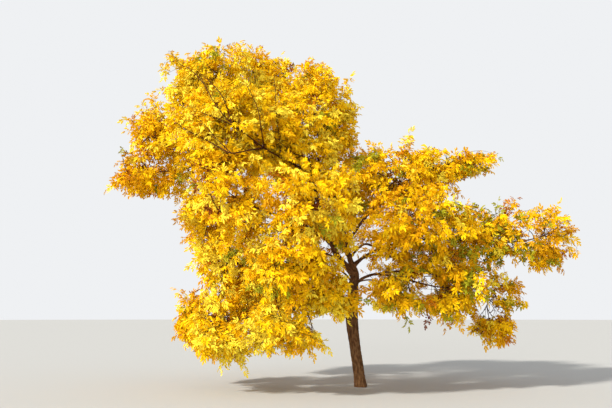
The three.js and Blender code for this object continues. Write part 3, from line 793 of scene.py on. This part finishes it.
def sweep(lines, girths, sides):
    """Rods bent along many lines of equally many places: (vertices, faces, each vertex's grain).
    girths is the radius at each place, or at each vertex. The grain follows the bark round and along."""
    count, stations = lines.shape[:2]
    ring, circle, faces = rod(sides, stations - 1)
    ways = unit(np.gradient(lines, axis=1))
    chord = unit(lines[:, -1] - lines[:, 0])
    steep = np.abs(chord[:, 2:]) > STEEP
    across = np.where(steep, (0.0, 1.0, 0.0), np.cross(chord, UP))
    across = unit(across[:, None] - ways * (ways * across[:, None]).sum(axis=2, keepdims=True))
    beside = np.cross(across, ways)
    radius = girths[:, ring] if girths.shape[1] == stations else girths
    places = lines[:, ring] + radius[..., None] * (
        across[:, ring] * circle[:, :1] + beside[:, ring] * circle[:, 1:]
    )
    steps = np.linalg.norm(np.diff(lines, axis=1), axis=2)
    along = np.concatenate([np.zeros((count, 1)), np.cumsum(steps, axis=1)], axis=1)[:, ring]
    usual = np.broadcast_to(np.median(radius, axis=1)[:, None], along.shape)
    grain = np.stack([circle[:, 0] * usual, circle[:, 1] * usual, along], axis=2)
    size = len(ring)
    all_faces = [[v + n * size for v in face] for n in range(count) for face in faces]
    return places.reshape(-1, 3), all_faces, grain.reshape(-1, 3)


def joined(parts):
    """Several (vertices, faces, grain) as one."""
    starts = np.cumsum([0] + [len(part[0]) for part in parts])
    faces = [[v + start for v in face] for part, start in zip(parts, starts) for face in part[1]]
    return np.concatenate([p[0] for p in parts]), faces, np.concatenate([p[2] for p in parts])


def add_piece(name, parts, material, nodes):
    """A finished piece of the tree, which rides on its one body and stands for some of the frame's nodes.
    Its parts are its vertices, its faces and, where it is round and smooth, its grain."""
    places, faces, *grain = parts
    mesh = bpy.data.meshes.new(name)
    mesh.from_pydata(places, [], faces)
    if grain:
        attribute = mesh.attributes.new("grain", "FLOAT_VECTOR", "POINT")
        attribute.data.foreach_set("vector", np.asarray(grain[0], np.float32).ravel())
        mesh.shade_smooth()
    mesh.materials.append(material)
    mesh.update()
    piece = bpy.data.objects.new(name, mesh)
    bpy.context.scene.collection.objects.link(piece)
    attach(piece, "root")
    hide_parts(*nodes)
    return piece


def cut_at_ground(mesh):
    """Cuts off what reaches below the ground, and closes the cut."""
    bm = bmesh.new()
    bm.from_mesh(mesh)
    everything = [*bm.verts, *bm.edges, *bm.faces]
    bmesh.ops.bisect_plane(bm, geom=everything, plane_co=(0, 0, 0), plane_no=(0, 0, 1), clear_inner=True)
    rim = [edge for edge in bm.edges if edge.is_boundary]
    bmesh.ops.holes_fill(bm, edges=rim, sides=0)
    bmesh.ops.recalc_face_normals(bm, faces=bm.faces)
    bm.to_mesh(mesh)
    bm.free()


def nodes_of(leafy):
    """The frame's masses of leaves, or its trunk and boughs."""
    return [node for node in frame["nodes"] if node.endswith("_leaves") == leafy]


# The trunk and the boughs.
TRUNK_SIDES = 48
LIMB_SIDES = 16
TRUNK_RING = 0.025  # between two rings of the trunk
LIMB_RING = 0.06
LEAST_RINGS = 6
COLLAR_GIRTH = 0.5  # how much a limb swells where it leaves another, as a share
COLLAR_FADE = 1.2  # how far the swelling reaches, in radii of the limb
RIDGE_WIDTH = 0.022  # of one ridge of bark
RIDGE_STRETCH = 0.3  # a ridge is longer than it is wide
RIDGE_STEEPNESS = 3.2
RIDGE_LEVEL = 0.6  # the height of a ridge, from 0 to 1, that neither adds to the girth nor takes from it
RIDGE_LIMB = 0.1  # radius of the limb whose ridges have that width
FINEST_RIDGE = 0.4  # least width of a ridge, as a share of it
LEAST_RELIEF = 0.15  # relief of the thinnest limbs, as a share
LUMP_SIZE = 0.25
LUMP_STRETCH = 0.5
LUMP_GIRTH = 0.07
SWELL_HEIGHT = 1.5  # where the trunk swells, below its lowest bough
SWELL_REACH = 0.32
SWELL_GIRTH = 0.16  # how much wider it is there, as a share


def ridges(grain, width):
    """From 0 in a furrow of the bark to 1 on a ridge, at each place of its grain."""
    scaled = grain / width * (1, 1, RIDGE_STRETCH)
    return np.array([1 - min(1, abs(noise.noise(Vector(place))) * RIDGE_STEEPNESS) for place in scaled])


def lumps(grain):
    """A slow swell of the wood, from -1 to 1."""
    return np.array([noise.noise(Vector(place)) for place in grain / LUMP_SIZE * (1, 1, LUMP_STRETCH)])


def limb_mesh(limb, relief):
    """A limb from its foot to its stem's end, with its bark's relief, its collar and the trunk's flare."""
    sides, ring_gap = (TRUNK_SIDES, TRUNK_RING) if limb is TRUNK else (LIMB_SIDES, LIMB_RING)
    length = limb.course.length()
    shares = np.linspace(0, 1, max(LEAST_RINGS, round(length / ring_gap)) + 1)
    line = limb.course.at(shares)[None]
    past = np.clip((shares - limb.entry) / (1 - limb.entry), 0, 1)
    girth = girth_at(limb, shares) * (1 - past * (1 - STEM_GIRTH_END))
    if limb is not TRUNK:
        parent_girth = girth_at(NAMED[limb.parent], limb.along)
        past_bark = np.maximum(shares * length - parent_girth, 0)
        girth = girth * (1 + COLLAR_GIRTH * np.exp(-past_bark / (COLLAR_FADE * girth[0])))
    _, _, grain = sweep(line, girth[None], sides)
    ring, circle, _ = rod(sides, len(shares) - 1)
    radius = girth[ring]
    if limb is TRUNK:
        angle = np.arctan2(circle[:, 1], circle[:, 0])
        height = line[0, ring, 2]
        near = np.exp(-np.maximum(height, 0) / FLARE_HEIGHT)
        radius = radius * (1 + near * (FLARE_GIRTH + BUTTRESS_SHARE * np.cos(BUTTRESSES * angle)))
        radius = radius * (1 + SWELL_GIRTH * np.exp(-(((height - SWELL_HEIGHT) / SWELL_REACH) ** 2)))
    depth = relief * np.clip(radius / girth_at(TRUNK, 0.0), LEAST_RELIEF, 1)
    width = RIDGE_WIDTH * np.clip(np.median(radius) / RIDGE_LIMB, FINEST_RIDGE, 1)
    own_grain = grain + LIMBS.index(limb)
    ridge = ridges(own_grain, width) - RIDGE_LEVEL
    radius = radius * (1 + LUMP_GIRTH * lumps(own_grain)) + depth * ridge
    return sweep(line, radius[None], sides)


# The twigs.
ROD_PARTS = {"twigs": (6, 5), "spray_branches": (5, 3), "shoots": (1, 3)}  # parts and sides of each rod
TWIG_TAPER = 0.55  # how much thinner its end is, as a share
FAN_PARTS = 24
FAN_SIDES = 6
FAN_TAPER = 0.7


def fan_mesh():
    """The long twigs of the near side."""
    shares = np.linspace(0, 1, FAN_PARTS + 1)
    lines = np.array([course.at(shares) for course in fan_courses()])
    girths = np.array([girth * (1 - FAN_TAPER * shares) for _, _, girth, _ in FAN.values()])
    return sweep(lines, girths, FAN_SIDES)


# Leaves.
LEAFLETS = 5
LEAFLET_CORNERS = 6
LEAFLET_SHARES = (0, 0.3, 0.7, 1)  # where its corners are, from its foot to its tip
LEAFLET_WIDTHS = (0, 1, 0.85, 0)  # and how wide it is there
LEAFLET_YAWS = (0.6, 1.0)  # how far a leaflet of a pair is turned from the stalk, in radians
LEAFLET_DIPS = (-0.1, 0.6)  # how far it hangs
LEAFLET_ROLLS = (-0.5, 0.5)
LEAFLET_SIZES = (0.85, 1.1)
LEAFLET_FOLDS = (0.1, 0.35)  # how high its edges stand over its midrib, as a share of its width
LEAFLET_CURLS = (0, 0.25)  # how far its tip bends down, as a share of its length
PAIR_SIZES = (0.9, 1.0)  # of the leaflets of the first pair and of the second
END_SIZE = 1.12  # and of the one at the end
STALK_SHARE = 0.38  # of the leaf's stalk that is bare
LEAF_SEED, FORM_SEED = 11, 5
LEAF_FORMS = 8
LEAF_PLACES = [0.3, 0.68]  # of the pairs of leaves on a shoot
LEAF_TURN = 0.3  # how far a pair is turned about its shoot, in radians, give or take
LEAF_SPLAY = 0.95
LEAF_SPLAYS = (0.7, 1.2)  # how the splay varies, as shares
LEAF_DROOP = 0.45
LEAF_DROOPS = (0.4, 1.3)
LEAF_SIZES = (0.75, 1.15)
LEAF_FACE = (0.5, 0.45, 0.95)  # how far a leaf faces up, outwards and at random
LOWEST_LEAF = 0.06  # above the ground
MOST_LEAVES = 9000  # in one piece


def add_leaflet(bm, place, length, width, fold, curl):
    """One leaflet along +X, folded along its midrib: an oval of six corners."""
    quarter = Matrix.Rotation(math.pi / 2, 4, "Z")
    circle = bmesh.ops.create_circle(bm, cap_ends=True, segments=LEAFLET_CORNERS, radius=1, matrix=quarter)
    made = circle["verts"]
    for vert in made:
        hand = round(vert.co.y)
        corner = round((1 + vert.co.x) * (len(LEAFLET_SHARES) - 1) / 2)
        share, wide = LEAFLET_SHARES[corner], LEAFLET_WIDTHS[corner] * width / 2
        vert.co = (share * length, hand * wide, abs(hand) * fold * width - curl * share**2 * length)
    base, tip = min(made, key=lambda v: v.co.x), max(made, key=lambda v: v.co.x)
    halves = bmesh.ops.connect_verts(bm, verts=[base, tip])["edges"][0].link_faces
    bmesh.ops.triangulate(bm, faces=list(halves))
    bmesh.ops.transform(bm, matrix=place, verts=made)


@lru_cache(maxsize=None)
def leaf_form(seed, stalk, length, width, thickness):
    """One compound leaf along +X: its stalk, two pairs of leaflets and one at the end."""
    rng = np.random.default_rng(seed)
    bm = bmesh.new()
    strip = bmesh.ops.create_circle(bm, cap_ends=True, segments=3, radius=1)["verts"]
    for vert, (along, across) in zip(strip, ((0, -0.5), (0, 0.5), (1, 0))):
        vert.co = (along * stalk, across * thickness, 0)
    for number in range(LEAFLETS):
        pair, hand = divmod(number, 2)
        at = stalk * (STALK_SHARE + (1 - STALK_SHARE) * pair / 2)
        last = number == LEAFLETS - 1
        yaw = 0 if last else (1 - 2 * hand) * rng.uniform(*LEAFLET_YAWS)
        dip = rng.uniform(*LEAFLET_DIPS)
        roll = rng.uniform(*LEAFLET_ROLLS)
        size = rng.uniform(*LEAFLET_SIZES) * (END_SIZE if last else PAIR_SIZES[pair])
        place = (
            Matrix.Translation((at, 0, 0))
            @ Matrix.Rotation(yaw, 4, "Z")
            @ Matrix.Rotation(dip, 4, "Y")
            @ Matrix.Rotation(roll, 4, "X")
        )
        fold, curl = rng.uniform(*LEAFLET_FOLDS), rng.uniform(*LEAFLET_CURLS)
        add_leaflet(bm, place, length * size, width * size, fold, curl)
    bm.verts.index_update()
    places = np.array([vert.co for vert in bm.verts])
    faces = np.array([[vert.index for vert in face.verts] for face in bm.faces])
    bm.free()
    return places, faces


# How the tints are dealt out to the sprays of each tone of mass, and the darker tints that paint shade deep
# in the crown.
TINTS = ["lemon", "golden", "honey", "amber", "orange", "rust", "olive"]
TINT_SHARES = {  # of each tint above
    "pale": [0.34, 0.56, 0.07, 0.01, 0.004, 0.002, 0.014],
    "golden": [0.24, 0.45, 0.20, 0.07, 0.018, 0.004, 0.018],
    "lemon": [0.42, 0.40, 0.10, 0.04, 0.01, 0.004, 0.026],
    "honey": [0.12, 0.35, 0.32, 0.12, 0.006, 0.002, 0.082],
    "amber": [0.06, 0.27, 0.31, 0.26, 0.03, 0.006, 0.064],
    "olive": [0.06, 0.18, 0.22, 0.16, 0.01, 0.004, 0.366],
}
USUAL_TONE = "golden"
OWN_TINT = 0.5  # share of the shoots that don't take their spray's tint
SHADE_TINTS = ["honey", "amber", "amber", "rust"]  # painted shade: darker tints of the shoots deep in the crown
SHADE_TINT_CHANCE = 0.6  # of the deepest ones that take them
INNER_DEPTH = 0.25  # of the open air that a shoot needs about it to take its spray's tint
UNSHADED_TONE = "pale"  # the tone of the masses whose deep shoots get no painted shade


def grown_leaves():
    """Where each leaf grows: its foot, its way, its face, its size and its tint."""
    rng = np.random.default_rng(LEAF_SEED)
    choice = bpy.context.scene.maple_leaves
    twigs, sprays, reaches, shoots, owners, rolls = grown_masses()
    deal = {tone: np.cumsum(shares) / sum(shares) for tone, shares in TINT_SHARES.items()}
    tones = {name: tone for tone, names in TONES.items() for name in names}
    toned = np.array([tones.get(spray.mass.name, USUAL_TONE) for spray in sprays])[owners]
    bounds = np.array([deal[tone] for tone in toned])
    spray_luck = rng.uniform(size=len(sprays))[owners]
    own_luck = rng.uniform(size=len(owners))
    luck = np.where(rng.uniform(size=len(owners)) < OWN_TINT, own_luck, spray_luck)
    tint = (luck[:, None] > bounds).sum(axis=1)
    # Painted shade: a share of the shoots deep in the crown take darker tints.
    depth = 1 - np.clip(open_share(shoots[:, 2]) / INNER_DEPTH, 0, 1)
    shade_tint_numbers = [TINTS.index(name) for name in SHADE_TINTS]
    deep = rng.choice(shade_tint_numbers, size=len(owners))
    painted_shade = (rng.uniform(size=len(owners)) < depth * SHADE_TINT_CHANCE) & (toned != UNSHADED_TONE)
    tint = np.where(painted_shade, deep, tint)
    hearts = np.array([sprays[owner].mass.heart for owner in owners])

    feet, ways = [], []
    shares = [*LEAF_PLACES, 1]
    places, tangents = bent(shoots, shares), bent_ways(shoots, shares)
    for k in range(len(shares)):
        tangent = tangents[:, k]
        side = unit(np.cross(tangent, UP))
        over = np.cross(side, tangent)
        angle = (rolls + k * math.pi / 2 + rng.normal(0, LEAF_TURN, len(rolls)))[:, None]
        side = side * np.cos(angle) + over * np.sin(angle)
        for hand in (1, -1) if k < len(LEAF_PLACES) else (0,):
            splay = LEAF_SPLAY * rng.uniform(*LEAF_SPLAYS, (len(rolls), 1)) if hand else 0
            way = tangent * np.cos(splay) + side * hand * np.sin(splay)
            way = way - UP * LEAF_DROOP * rng.uniform(*LEAF_DROOPS, (len(rolls), 1))
            feet.append(places[:, k])
            ways.append(unit(way))
    turns = len(feet)
    feet, ways = np.concatenate(feet), np.concatenate(ways)
    up, outward, stray = LEAF_FACE
    face = UP * up + unit(feet - np.tile(hearts, (turns, 1))) * outward + rng.normal(0, stray, feet.shape)
    side = unit(np.cross(face, ways))
    size = rng.uniform(*LEAF_SIZES, len(feet))
    tips = feet + ways * (size * (choice.stalk + choice.leaflet))[:, None]
    middles = (feet + tips) / 2
    kept = in_masses(tips, np.tile(reaches[owners] + LEAF_PAST, turns))
    shed = before_shown(middles) & (rng.uniform(size=len(feet)) < FAN_BARE)
    kept &= clear_of_wood(middles, twigs) & ~shed
    return feet[kept], ways[kept], side[kept], size[kept], np.tile(tint, turns)[kept]


# Materials.
LEAF_GLOSS = 0.08  # specular level
LEAF_GLOSS_SPREAD = 0.12
CRINKLE_HEIGHT = 0.002
CRINKLE_DETAIL = 2
BARK_GLOSS = 0.2
BARK_ROUGHNESS = 0.88
RIDGE_DETAIL = 4
MOTTLE_DETAIL = 3
FURROW_BAND = (0.38, 0.62)  # of the noise, from a furrow to a ridge
BARK_GRAIN = (45, 0.006)  # scale of the ridges, and their height
TWIG_GRAIN = (160, 0.001)


def node_tree_of(name):
    """A new material, its nodes and its shader."""
    material = bpy.data.materials.new(name)
    material.use_nodes = True
    return material, material.node_tree, material.node_tree.nodes["Principled BSDF"]


def empty_group(name, inputs, outputs):
    """A node group with one number at each of its inputs and outputs: the group and those two nodes."""
    group = bpy.data.node_groups.new(name, "ShaderNodeTree")
    for label, default in inputs.items():
        socket = group.interface.new_socket(label, in_out="INPUT", socket_type="NodeSocketFloat")
        socket.default_value = default
    for label in outputs:
        group.interface.new_socket(label, in_out="OUTPUT", socket_type="NodeSocketFloat")
    return group, group.nodes.new("NodeGroupInput"), group.nodes.new("NodeGroupOutput")


def noise_node(group, place, scale, detail):
    """Noise in a group, at a place and a scale that sockets give: its value."""
    node = group.nodes.new("ShaderNodeTexNoise")
    node.inputs["Detail"].default_value = detail
    group.links.new(place, node.inputs["Vector"])
    group.links.new(scale, node.inputs["Scale"])
    return node.outputs["Fac"]


def grouped(tree, group, values):
    """A group set into a material with its own values."""
    node = tree.nodes.new("ShaderNodeGroup")
    node.node_tree = group
    for label, value in values.items():
        node.inputs[label].default_value = value
    return node


def add_bump(tree, shader, height, distance):
    """Raises a material's surface by a height that a socket gives."""
    bump = tree.nodes.new("ShaderNodeBump")
    bump.inputs["Distance"].default_value = distance
    tree.links.new(height, bump.inputs["Height"])
    tree.links.new(bump.outputs["Normal"], shader.inputs["Normal"])


def mixed(tree, share, first):
    """Mixes two colours by a share that a socket gives: the second colour's socket, and the mix."""
    mix = tree.nodes.new("ShaderNodeMix")
    mix.data_type = "RGBA"
    mix.inputs["A"].default_value = (*first, 1)
    tree.links.new(share, mix.inputs["Factor"])
    return mix.inputs["B"], mix.outputs["Result"]


def crinkle_group():
    """The crinkle of a leaf: its roughness and its height."""
    if "Leaf crinkle" in bpy.data.node_groups:
        return bpy.data.node_groups["Leaf crinkle"]
    inputs = {"Scale": 60.0, "Smoothest": 0.4, "Roughest": 0.7}
    group, start, end = empty_group("Leaf crinkle", inputs, ("Roughness", "Height"))
    nodes, links = group.nodes, group.links
    place = nodes.new("ShaderNodeTexCoord").outputs["Object"]
    ripples = noise_node(group, place, start.outputs["Scale"], CRINKLE_DETAIL)
    dullness = nodes.new("ShaderNodeMapRange")
    links.new(ripples, dullness.inputs["Value"])
    links.new(start.outputs["Smoothest"], dullness.inputs["To Min"])
    links.new(start.outputs["Roughest"], dullness.inputs["To Max"])
    links.new(dullness.outputs[0], end.inputs["Roughness"])
    links.new(ripples, end.inputs["Height"])
    return group


def leaf_material(name, tint, gloss):
    """A leaf of one plain tint, finely crinkled."""
    material, tree, shader = node_tree_of(name)
    dullness = {"Smoothest": gloss - LEAF_GLOSS_SPREAD, "Roughest": gloss + LEAF_GLOSS_SPREAD}
    crinkle = grouped(tree, crinkle_group(), dullness)
    tree.links.new(crinkle.outputs["Roughness"], shader.inputs["Roughness"])
    add_bump(tree, shader, crinkle.outputs["Height"], CRINKLE_HEIGHT)
    shader.inputs["Base Color"].default_value = (*tint, 1)
    shader.inputs["Specular IOR Level"].default_value = LEAF_GLOSS
    return material


def bark_group():
    """The pattern of bark along its grain: a mottle, furrows and their height."""
    if "Bark grain" in bpy.data.node_groups:
        return bpy.data.node_groups["Bark grain"]
    inputs = {"Ridge scale": 40.0, "Stretch": 0.2, "Mottle scale": 6.0}
    group, start, end = empty_group("Bark grain", inputs, ("Furrows", "Mottle", "Height"))
    nodes, links = group.nodes, group.links
    grain = nodes.new("ShaderNodeAttribute")
    grain.attribute_name = "grain"
    squeeze = nodes.new("ShaderNodeCombineXYZ")
    squeeze.inputs[0].default_value = squeeze.inputs[1].default_value = 1
    links.new(start.outputs["Stretch"], squeeze.inputs[2])
    stretched = nodes.new("ShaderNodeVectorMath")
    stretched.operation = "MULTIPLY"
    links.new(grain.outputs["Vector"], stretched.inputs[0])
    links.new(squeeze.outputs[0], stretched.inputs[1])
    fine = noise_node(group, stretched.outputs[0], start.outputs["Ridge scale"], RIDGE_DETAIL)
    patches = noise_node(group, grain.outputs["Vector"], start.outputs["Mottle scale"], MOTTLE_DETAIL)
    furrows = nodes.new("ShaderNodeMapRange")
    furrows.inputs["From Min"].default_value, furrows.inputs["From Max"].default_value = FURROW_BAND
    links.new(fine, furrows.inputs["Value"])
    links.new(furrows.outputs[0], end.inputs["Furrows"])
    links.new(patches, end.inputs["Mottle"])
    links.new(fine, end.inputs["Height"])
    return group


def bark_material(name, colours, grain):
    """Bark whose furrows are darker than its ridges, with warm and grey patches."""
    dark, warm, grey = colours
    ridge_scale, relief = grain
    material, tree, shader = node_tree_of(name)
    pattern = grouped(tree, bark_group(), {"Ridge scale": ridge_scale})
    second_patch, patch = mixed(tree, pattern.outputs["Mottle"], warm)
    second_patch.default_value = (*grey, 1)
    ridge, surface = mixed(tree, pattern.outputs["Furrows"], dark)
    tree.links.new(patch, ridge)
    tree.links.new(surface, shader.inputs["Base Color"])
    add_bump(tree, shader, pattern.outputs["Height"], relief)
    shader.inputs["Roughness"].default_value = BARK_ROUGHNESS
    shader.inputs["Specular IOR Level"].default_value = BARK_GLOSS
    return material


# Settings.
def colour(name, description, default):
    return FloatVectorProperty(
        name=name, description=description, default=default, subtype="COLOR", size=3, min=0, max=1
    )


def metres(name, description, default):
    return FloatProperty(name=name, description=description, default=default, unit="LENGTH", min=0)


def power(name, description, default):
    return FloatProperty(name=name, description=description, default=default, min=0)


class WoodSettings(bpy.types.PropertyGroup):
    """The bark of the trunk, the boughs and the twigs."""

    relief: metres("Bark relief", "Depth of the furrows at the foot of the trunk", 0.008)
    furrow: colour("Furrow", "Colour of the bark's furrows", (0.085, 0.036, 0.012))
    warm: colour("Warm bark", "Colour of the ridges where the bark is reddish", (0.28, 0.13, 0.048))
    grey: colour("Grey bark", "Colour of the ridges where the bark is weathered", (0.15, 0.085, 0.038))
    twig_dark: colour("Dark twig", "Darkest colour of a twig", (0.045, 0.014, 0.004))
    twig_warm: colour("Warm twig", "Colour of a young twig", (0.15, 0.046, 0.01))
    twig_grey: colour("Grey twig", "Colour of an older twig", (0.09, 0.036, 0.012))
    twig_girth: metres("Twig girth", "Radius of a twig at its foot", 0.012)
    spray_girth: metres("Spray girth", "Radius of a spray's branch at its foot", 0.006)
    shoot_girth: metres("Shoot girth", "Radius of a shoot at its foot", 0.0028)


class LeafSettings(bpy.types.PropertyGroup):
    """The leaves and the shoots that bear them."""

    shoot_length: metres("Shoot length", "Length of a leafy shoot", 0.26)
    stalk: metres("Stalk", "Length of a leaf's stalk", 0.1)
    stalk_width: metres("Stalk width", "Width of a leaf's stalk", 0.004)
    leaflet: metres("Leaflet", "Length of a leaflet", 0.092)
    leaflet_width: metres("Leaflet width", "Width of a leaflet", 0.036)
    roughness: FloatProperty(name="Roughness", description="Of a leaf", default=0.5, min=0, max=1)
    lemon: colour("Lemon", "Palest leaves", (0.96, 0.76, 0.05))
    golden: colour("Golden", "Most leaves", (0.95, 0.61, 0.004))
    honey: colour("Honey", "Deep golden leaves", (0.88, 0.50, 0.003))
    amber: colour("Amber", "Leaves that turn brown", (0.72, 0.36, 0.003))
    orange: colour("Orange", "Leaves that turn red", (0.58, 0.21, 0.005))
    rust: colour("Rust", "Dead leaves", (0.24, 0.06, 0.01))
    olive: colour("Olive", "Leaves that are still green", (0.38, 0.36, 0.015))


class StageSettings(bpy.types.PropertyGroup):
    """The floor, the light and the camera."""

    floor: colour("Floor", "Colour of the floor", (0.58, 0.58, 0.565))
    sky: colour("Backdrop", "Colour of the backdrop", (0.89, 0.905, 0.925))
    backdrop_strength: power("Backdrop strength", "How bright the backdrop is", 0.97)
    sky_strength: power("Soft light", "Strength of the light all round", 0.6)
    sun_strength: power("Key light", "Strength of the key light", 4.0)
    fill_strength: power("Fill light", "Strength of the fill light", 1.3)
    lens: FloatProperty(name="Lens", description="Focal length in millimetres", default=42, min=1)


FLOOR_CORNERS, FLOOR_RADIUS = 64, 200
FLOOR_ROUGHNESS = 0.9
KEY_WAY = (0.7, 0.6, -0.6)  # the way that the key light shines
KEY_SPREAD = 4  # in degrees
KEY_COLOUR = (1.0, 0.96, 0.88)
FILL_WAY = (0.2, 0.95, -0.08)
FILL_SPREAD = 30
SENSOR = 36  # width in millimetres
SIGHT = 500  # how far the camera sees
TILT = 98.758  # of the camera, in degrees from straight down


def add_sun(name, energy, way, spread):
    """A light that shines one way, softened by its spread."""
    sun = bpy.data.lights.new(name, "SUN")
    sun.energy = energy
    sun.angle = math.radians(spread)
    lamp = bpy.data.objects.new(name, sun)
    lamp.rotation_euler = Vector(way).to_track_quat("-Z", "Y").to_euler()
    bpy.context.scene.collection.objects.link(lamp)
    return sun


class MAPLE_OT_stage(bpy.types.Operator):
    """Make the floor, the light and the camera at the photograph's angle"""

    bl_idname = "maple.stage"
    bl_label = "Stage"

    def execute(self, context):
        scene, choice = context.scene, context.scene.maple_stage
        bm = bmesh.new()
        bmesh.ops.create_circle(bm, cap_ends=True, segments=FLOOR_CORNERS, radius=FLOOR_RADIUS)
        mesh = bpy.data.meshes.new("floor")
        bm.to_mesh(mesh)
        bm.free()
        floor = bpy.data.objects.new("floor", mesh)
        scene.collection.objects.link(floor)
        material, _, shader = node_tree_of("floor")
        shader.inputs["Base Color"].default_value = (*choice.floor, 1)
        shader.inputs["Roughness"].default_value = FLOOR_ROUGHNESS
        mesh.materials.append(material)

        world = bpy.data.worlds.new("studio")
        world.use_nodes = True
        nodes, links = world.node_tree.nodes, world.node_tree.links
        light, backdrop = nodes["Background"], nodes.new("ShaderNodeBackground")
        for background, strength in ((light, choice.sky_strength), (backdrop, choice.backdrop_strength)):
            background.inputs["Color"].default_value = (*choice.sky, 1)
            background.inputs["Strength"].default_value = strength
        mix, ray = nodes.new("ShaderNodeMixShader"), nodes.new("ShaderNodeLightPath")
        links.new(ray.outputs["Is Camera Ray"], mix.inputs["Fac"])
        links.new(light.outputs[0], mix.inputs[1])
        links.new(backdrop.outputs[0], mix.inputs[2])
        links.new(mix.outputs[0], nodes["World Output"].inputs["Surface"])
        scene.world = world

        key = add_sun("key", choice.sun_strength, KEY_WAY, KEY_SPREAD)
        key.color = KEY_COLOUR
        add_sun("fill", choice.fill_strength, FILL_WAY, FILL_SPREAD)

        lens = bpy.data.cameras.new("camera")
        lens.lens = choice.lens
        lens.sensor_width = SENSOR
        lens.clip_end = SIGHT
        camera = bpy.data.objects.new("camera", lens)
        camera.location = VIEWER
        camera.rotation_euler = (math.radians(TILT), 0, 0)
        scene.collection.objects.link(camera)
        scene.camera = camera
        scene.view_settings.view_transform = "Standard"
        return {"FINISHED"}


class MAPLE_OT_wood(bpy.types.Operator):
    """Make the trunk and the boughs with their bark"""

    bl_idname = "maple.wood"
    bl_label = "Trunk and boughs"

    def execute(self, context):
        choice = context.scene.maple_wood
        mesh = joined([limb_mesh(limb, choice.relief) for limb in grown_limbs()])
        material = bark_material("bark", (choice.furrow, choice.warm, choice.grey), BARK_GRAIN)
        piece = add_piece("trunk_and_boughs", mesh, material, nodes_of(leafy=False))
        cut_at_ground(piece.data)
        return {"FINISHED"}


class MAPLE_OT_twigs(bpy.types.Operator):
    """Make the twigs, the sprays' branches and the shoots"""

    bl_idname = "maple.twigs"
    bl_label = "Twigs"

    def execute(self, context):
        choice = context.scene.maple_wood
        twigs, sprays, _, shoots, _, _ = grown_masses()
        branches = [shortened(spray.steer, spray.borne) for spray in sprays if spray.borne]
        colours = (choice.twig_dark, choice.twig_warm, choice.twig_grey)
        material = bark_material("twig bark", colours, TWIG_GRAIN)
        kinds = {
            "twigs": (np.array(twigs), choice.twig_girth),
            "spray_branches": (np.array(branches), choice.spray_girth),
            "shoots": (shoots, choice.shoot_girth),
        }
        for name, (steers, girth) in kinds.items():
            parts, sides = ROD_PARTS[name]
            shares = np.linspace(0, 1, parts + 1)
            girths = np.broadcast_to(girth * (1 - TWIG_TAPER * shares), (len(steers), parts + 1))
            mesh = sweep(bent(steers, shares), girths, sides)
            if name == "twigs":
                mesh = joined([mesh, fan_mesh()])
            add_piece(name, mesh, material, nodes_of(leafy=True))
        return {"FINISHED"}


class MAPLE_OT_leaves(bpy.types.Operator):
    """Make the leaves, each tint apart"""

    bl_idname = "maple.leaves"
    bl_label = "Leaves"

    def execute(self, context):
        choice = context.scene.maple_leaves
        rng = np.random.default_rng(FORM_SEED)
        measures = (choice.stalk, choice.leaflet, choice.leaflet_width, choice.stalk_width)
        forms = [leaf_form(seed, *measures) for seed in range(LEAF_FORMS)]
        shapes = np.array([form[0] for form in forms])
        faces = forms[0][1]
        feet, ways, sides, sizes, tints = grown_leaves()
        turn = np.stack([ways, sides, np.cross(ways, sides)], axis=2)
        form = rng.integers(0, LEAF_FORMS, len(feet))
        for number, tint in enumerate(TINTS):
            material = leaf_material(f"{tint} leaf", getattr(choice, tint), choice.roughness)
            chosen = np.flatnonzero(tints == number)
            for part, first in enumerate(range(0, len(chosen), MOST_LEAVES), start=1):
                some = chosen[first : first + MOST_LEAVES]
                local = shapes[form[some]] * sizes[some, None, None]
                places = feet[some, None] + np.einsum("nij,nvj->nvi", turn[some], local)
                places = places[(places[..., 2] > LOWEST_LEAF).all(axis=1)]
                starts = np.arange(len(places))[:, None, None] * shapes.shape[1]
                mesh = (places.reshape(-1, 3), (faces + starts).reshape(-1, faces.shape[1]))
                add_piece(f"{tint}_leaves_{part}", mesh, material, nodes_of(leafy=True))
        return {"FINISHED"}


class MAPLE_PT_panel(bpy.types.Panel):
    """Lists the pieces of the tree"""

    bl_label = "Ash-leaved maple"
    bl_idname = "MAPLE_PT_panel"
    bl_space_type = "VIEW_3D"
    bl_region_type = "UI"
    bl_category = "Maple"

    def draw(self, context):
        for settings, operators in (
            ("maple_stage", ["maple.stage"]),
            ("maple_wood", ["maple.wood", "maple.twigs"]),
            ("maple_leaves", ["maple.leaves"]),
        ):
            box = self.layout.box()
            choice = getattr(context.scene, settings)
            for name in choice.__annotations__:
                box.prop(choice, name)
            for operator in operators:
                box.operator(operator)


CLASSES = [
    WoodSettings,
    LeafSettings,
    StageSettings,
    MAPLE_OT_stage,
    MAPLE_OT_wood,
    MAPLE_OT_twigs,
    MAPLE_OT_leaves,
    MAPLE_PT_panel,
]


def register():
    for one in CLASSES:
        bpy.utils.register_class(one)
    bpy.types.Scene.maple_wood = PointerProperty(type=WoodSettings)
    bpy.types.Scene.maple_leaves = PointerProperty(type=LeafSettings)
    bpy.types.Scene.maple_stage = PointerProperty(type=StageSettings)


def unregister():
    del bpy.types.Scene.maple_wood, bpy.types.Scene.maple_leaves, bpy.types.Scene.maple_stage
    for one in reversed(CLASSES):
        bpy.utils.unregister_class(one)


def main():
    register()
    bpy.ops.maple.stage()
    bpy.ops.maple.wood()
    bpy.ops.maple.twigs()
    bpy.ops.maple.leaves()


if __name__ == "__main__":
    main()
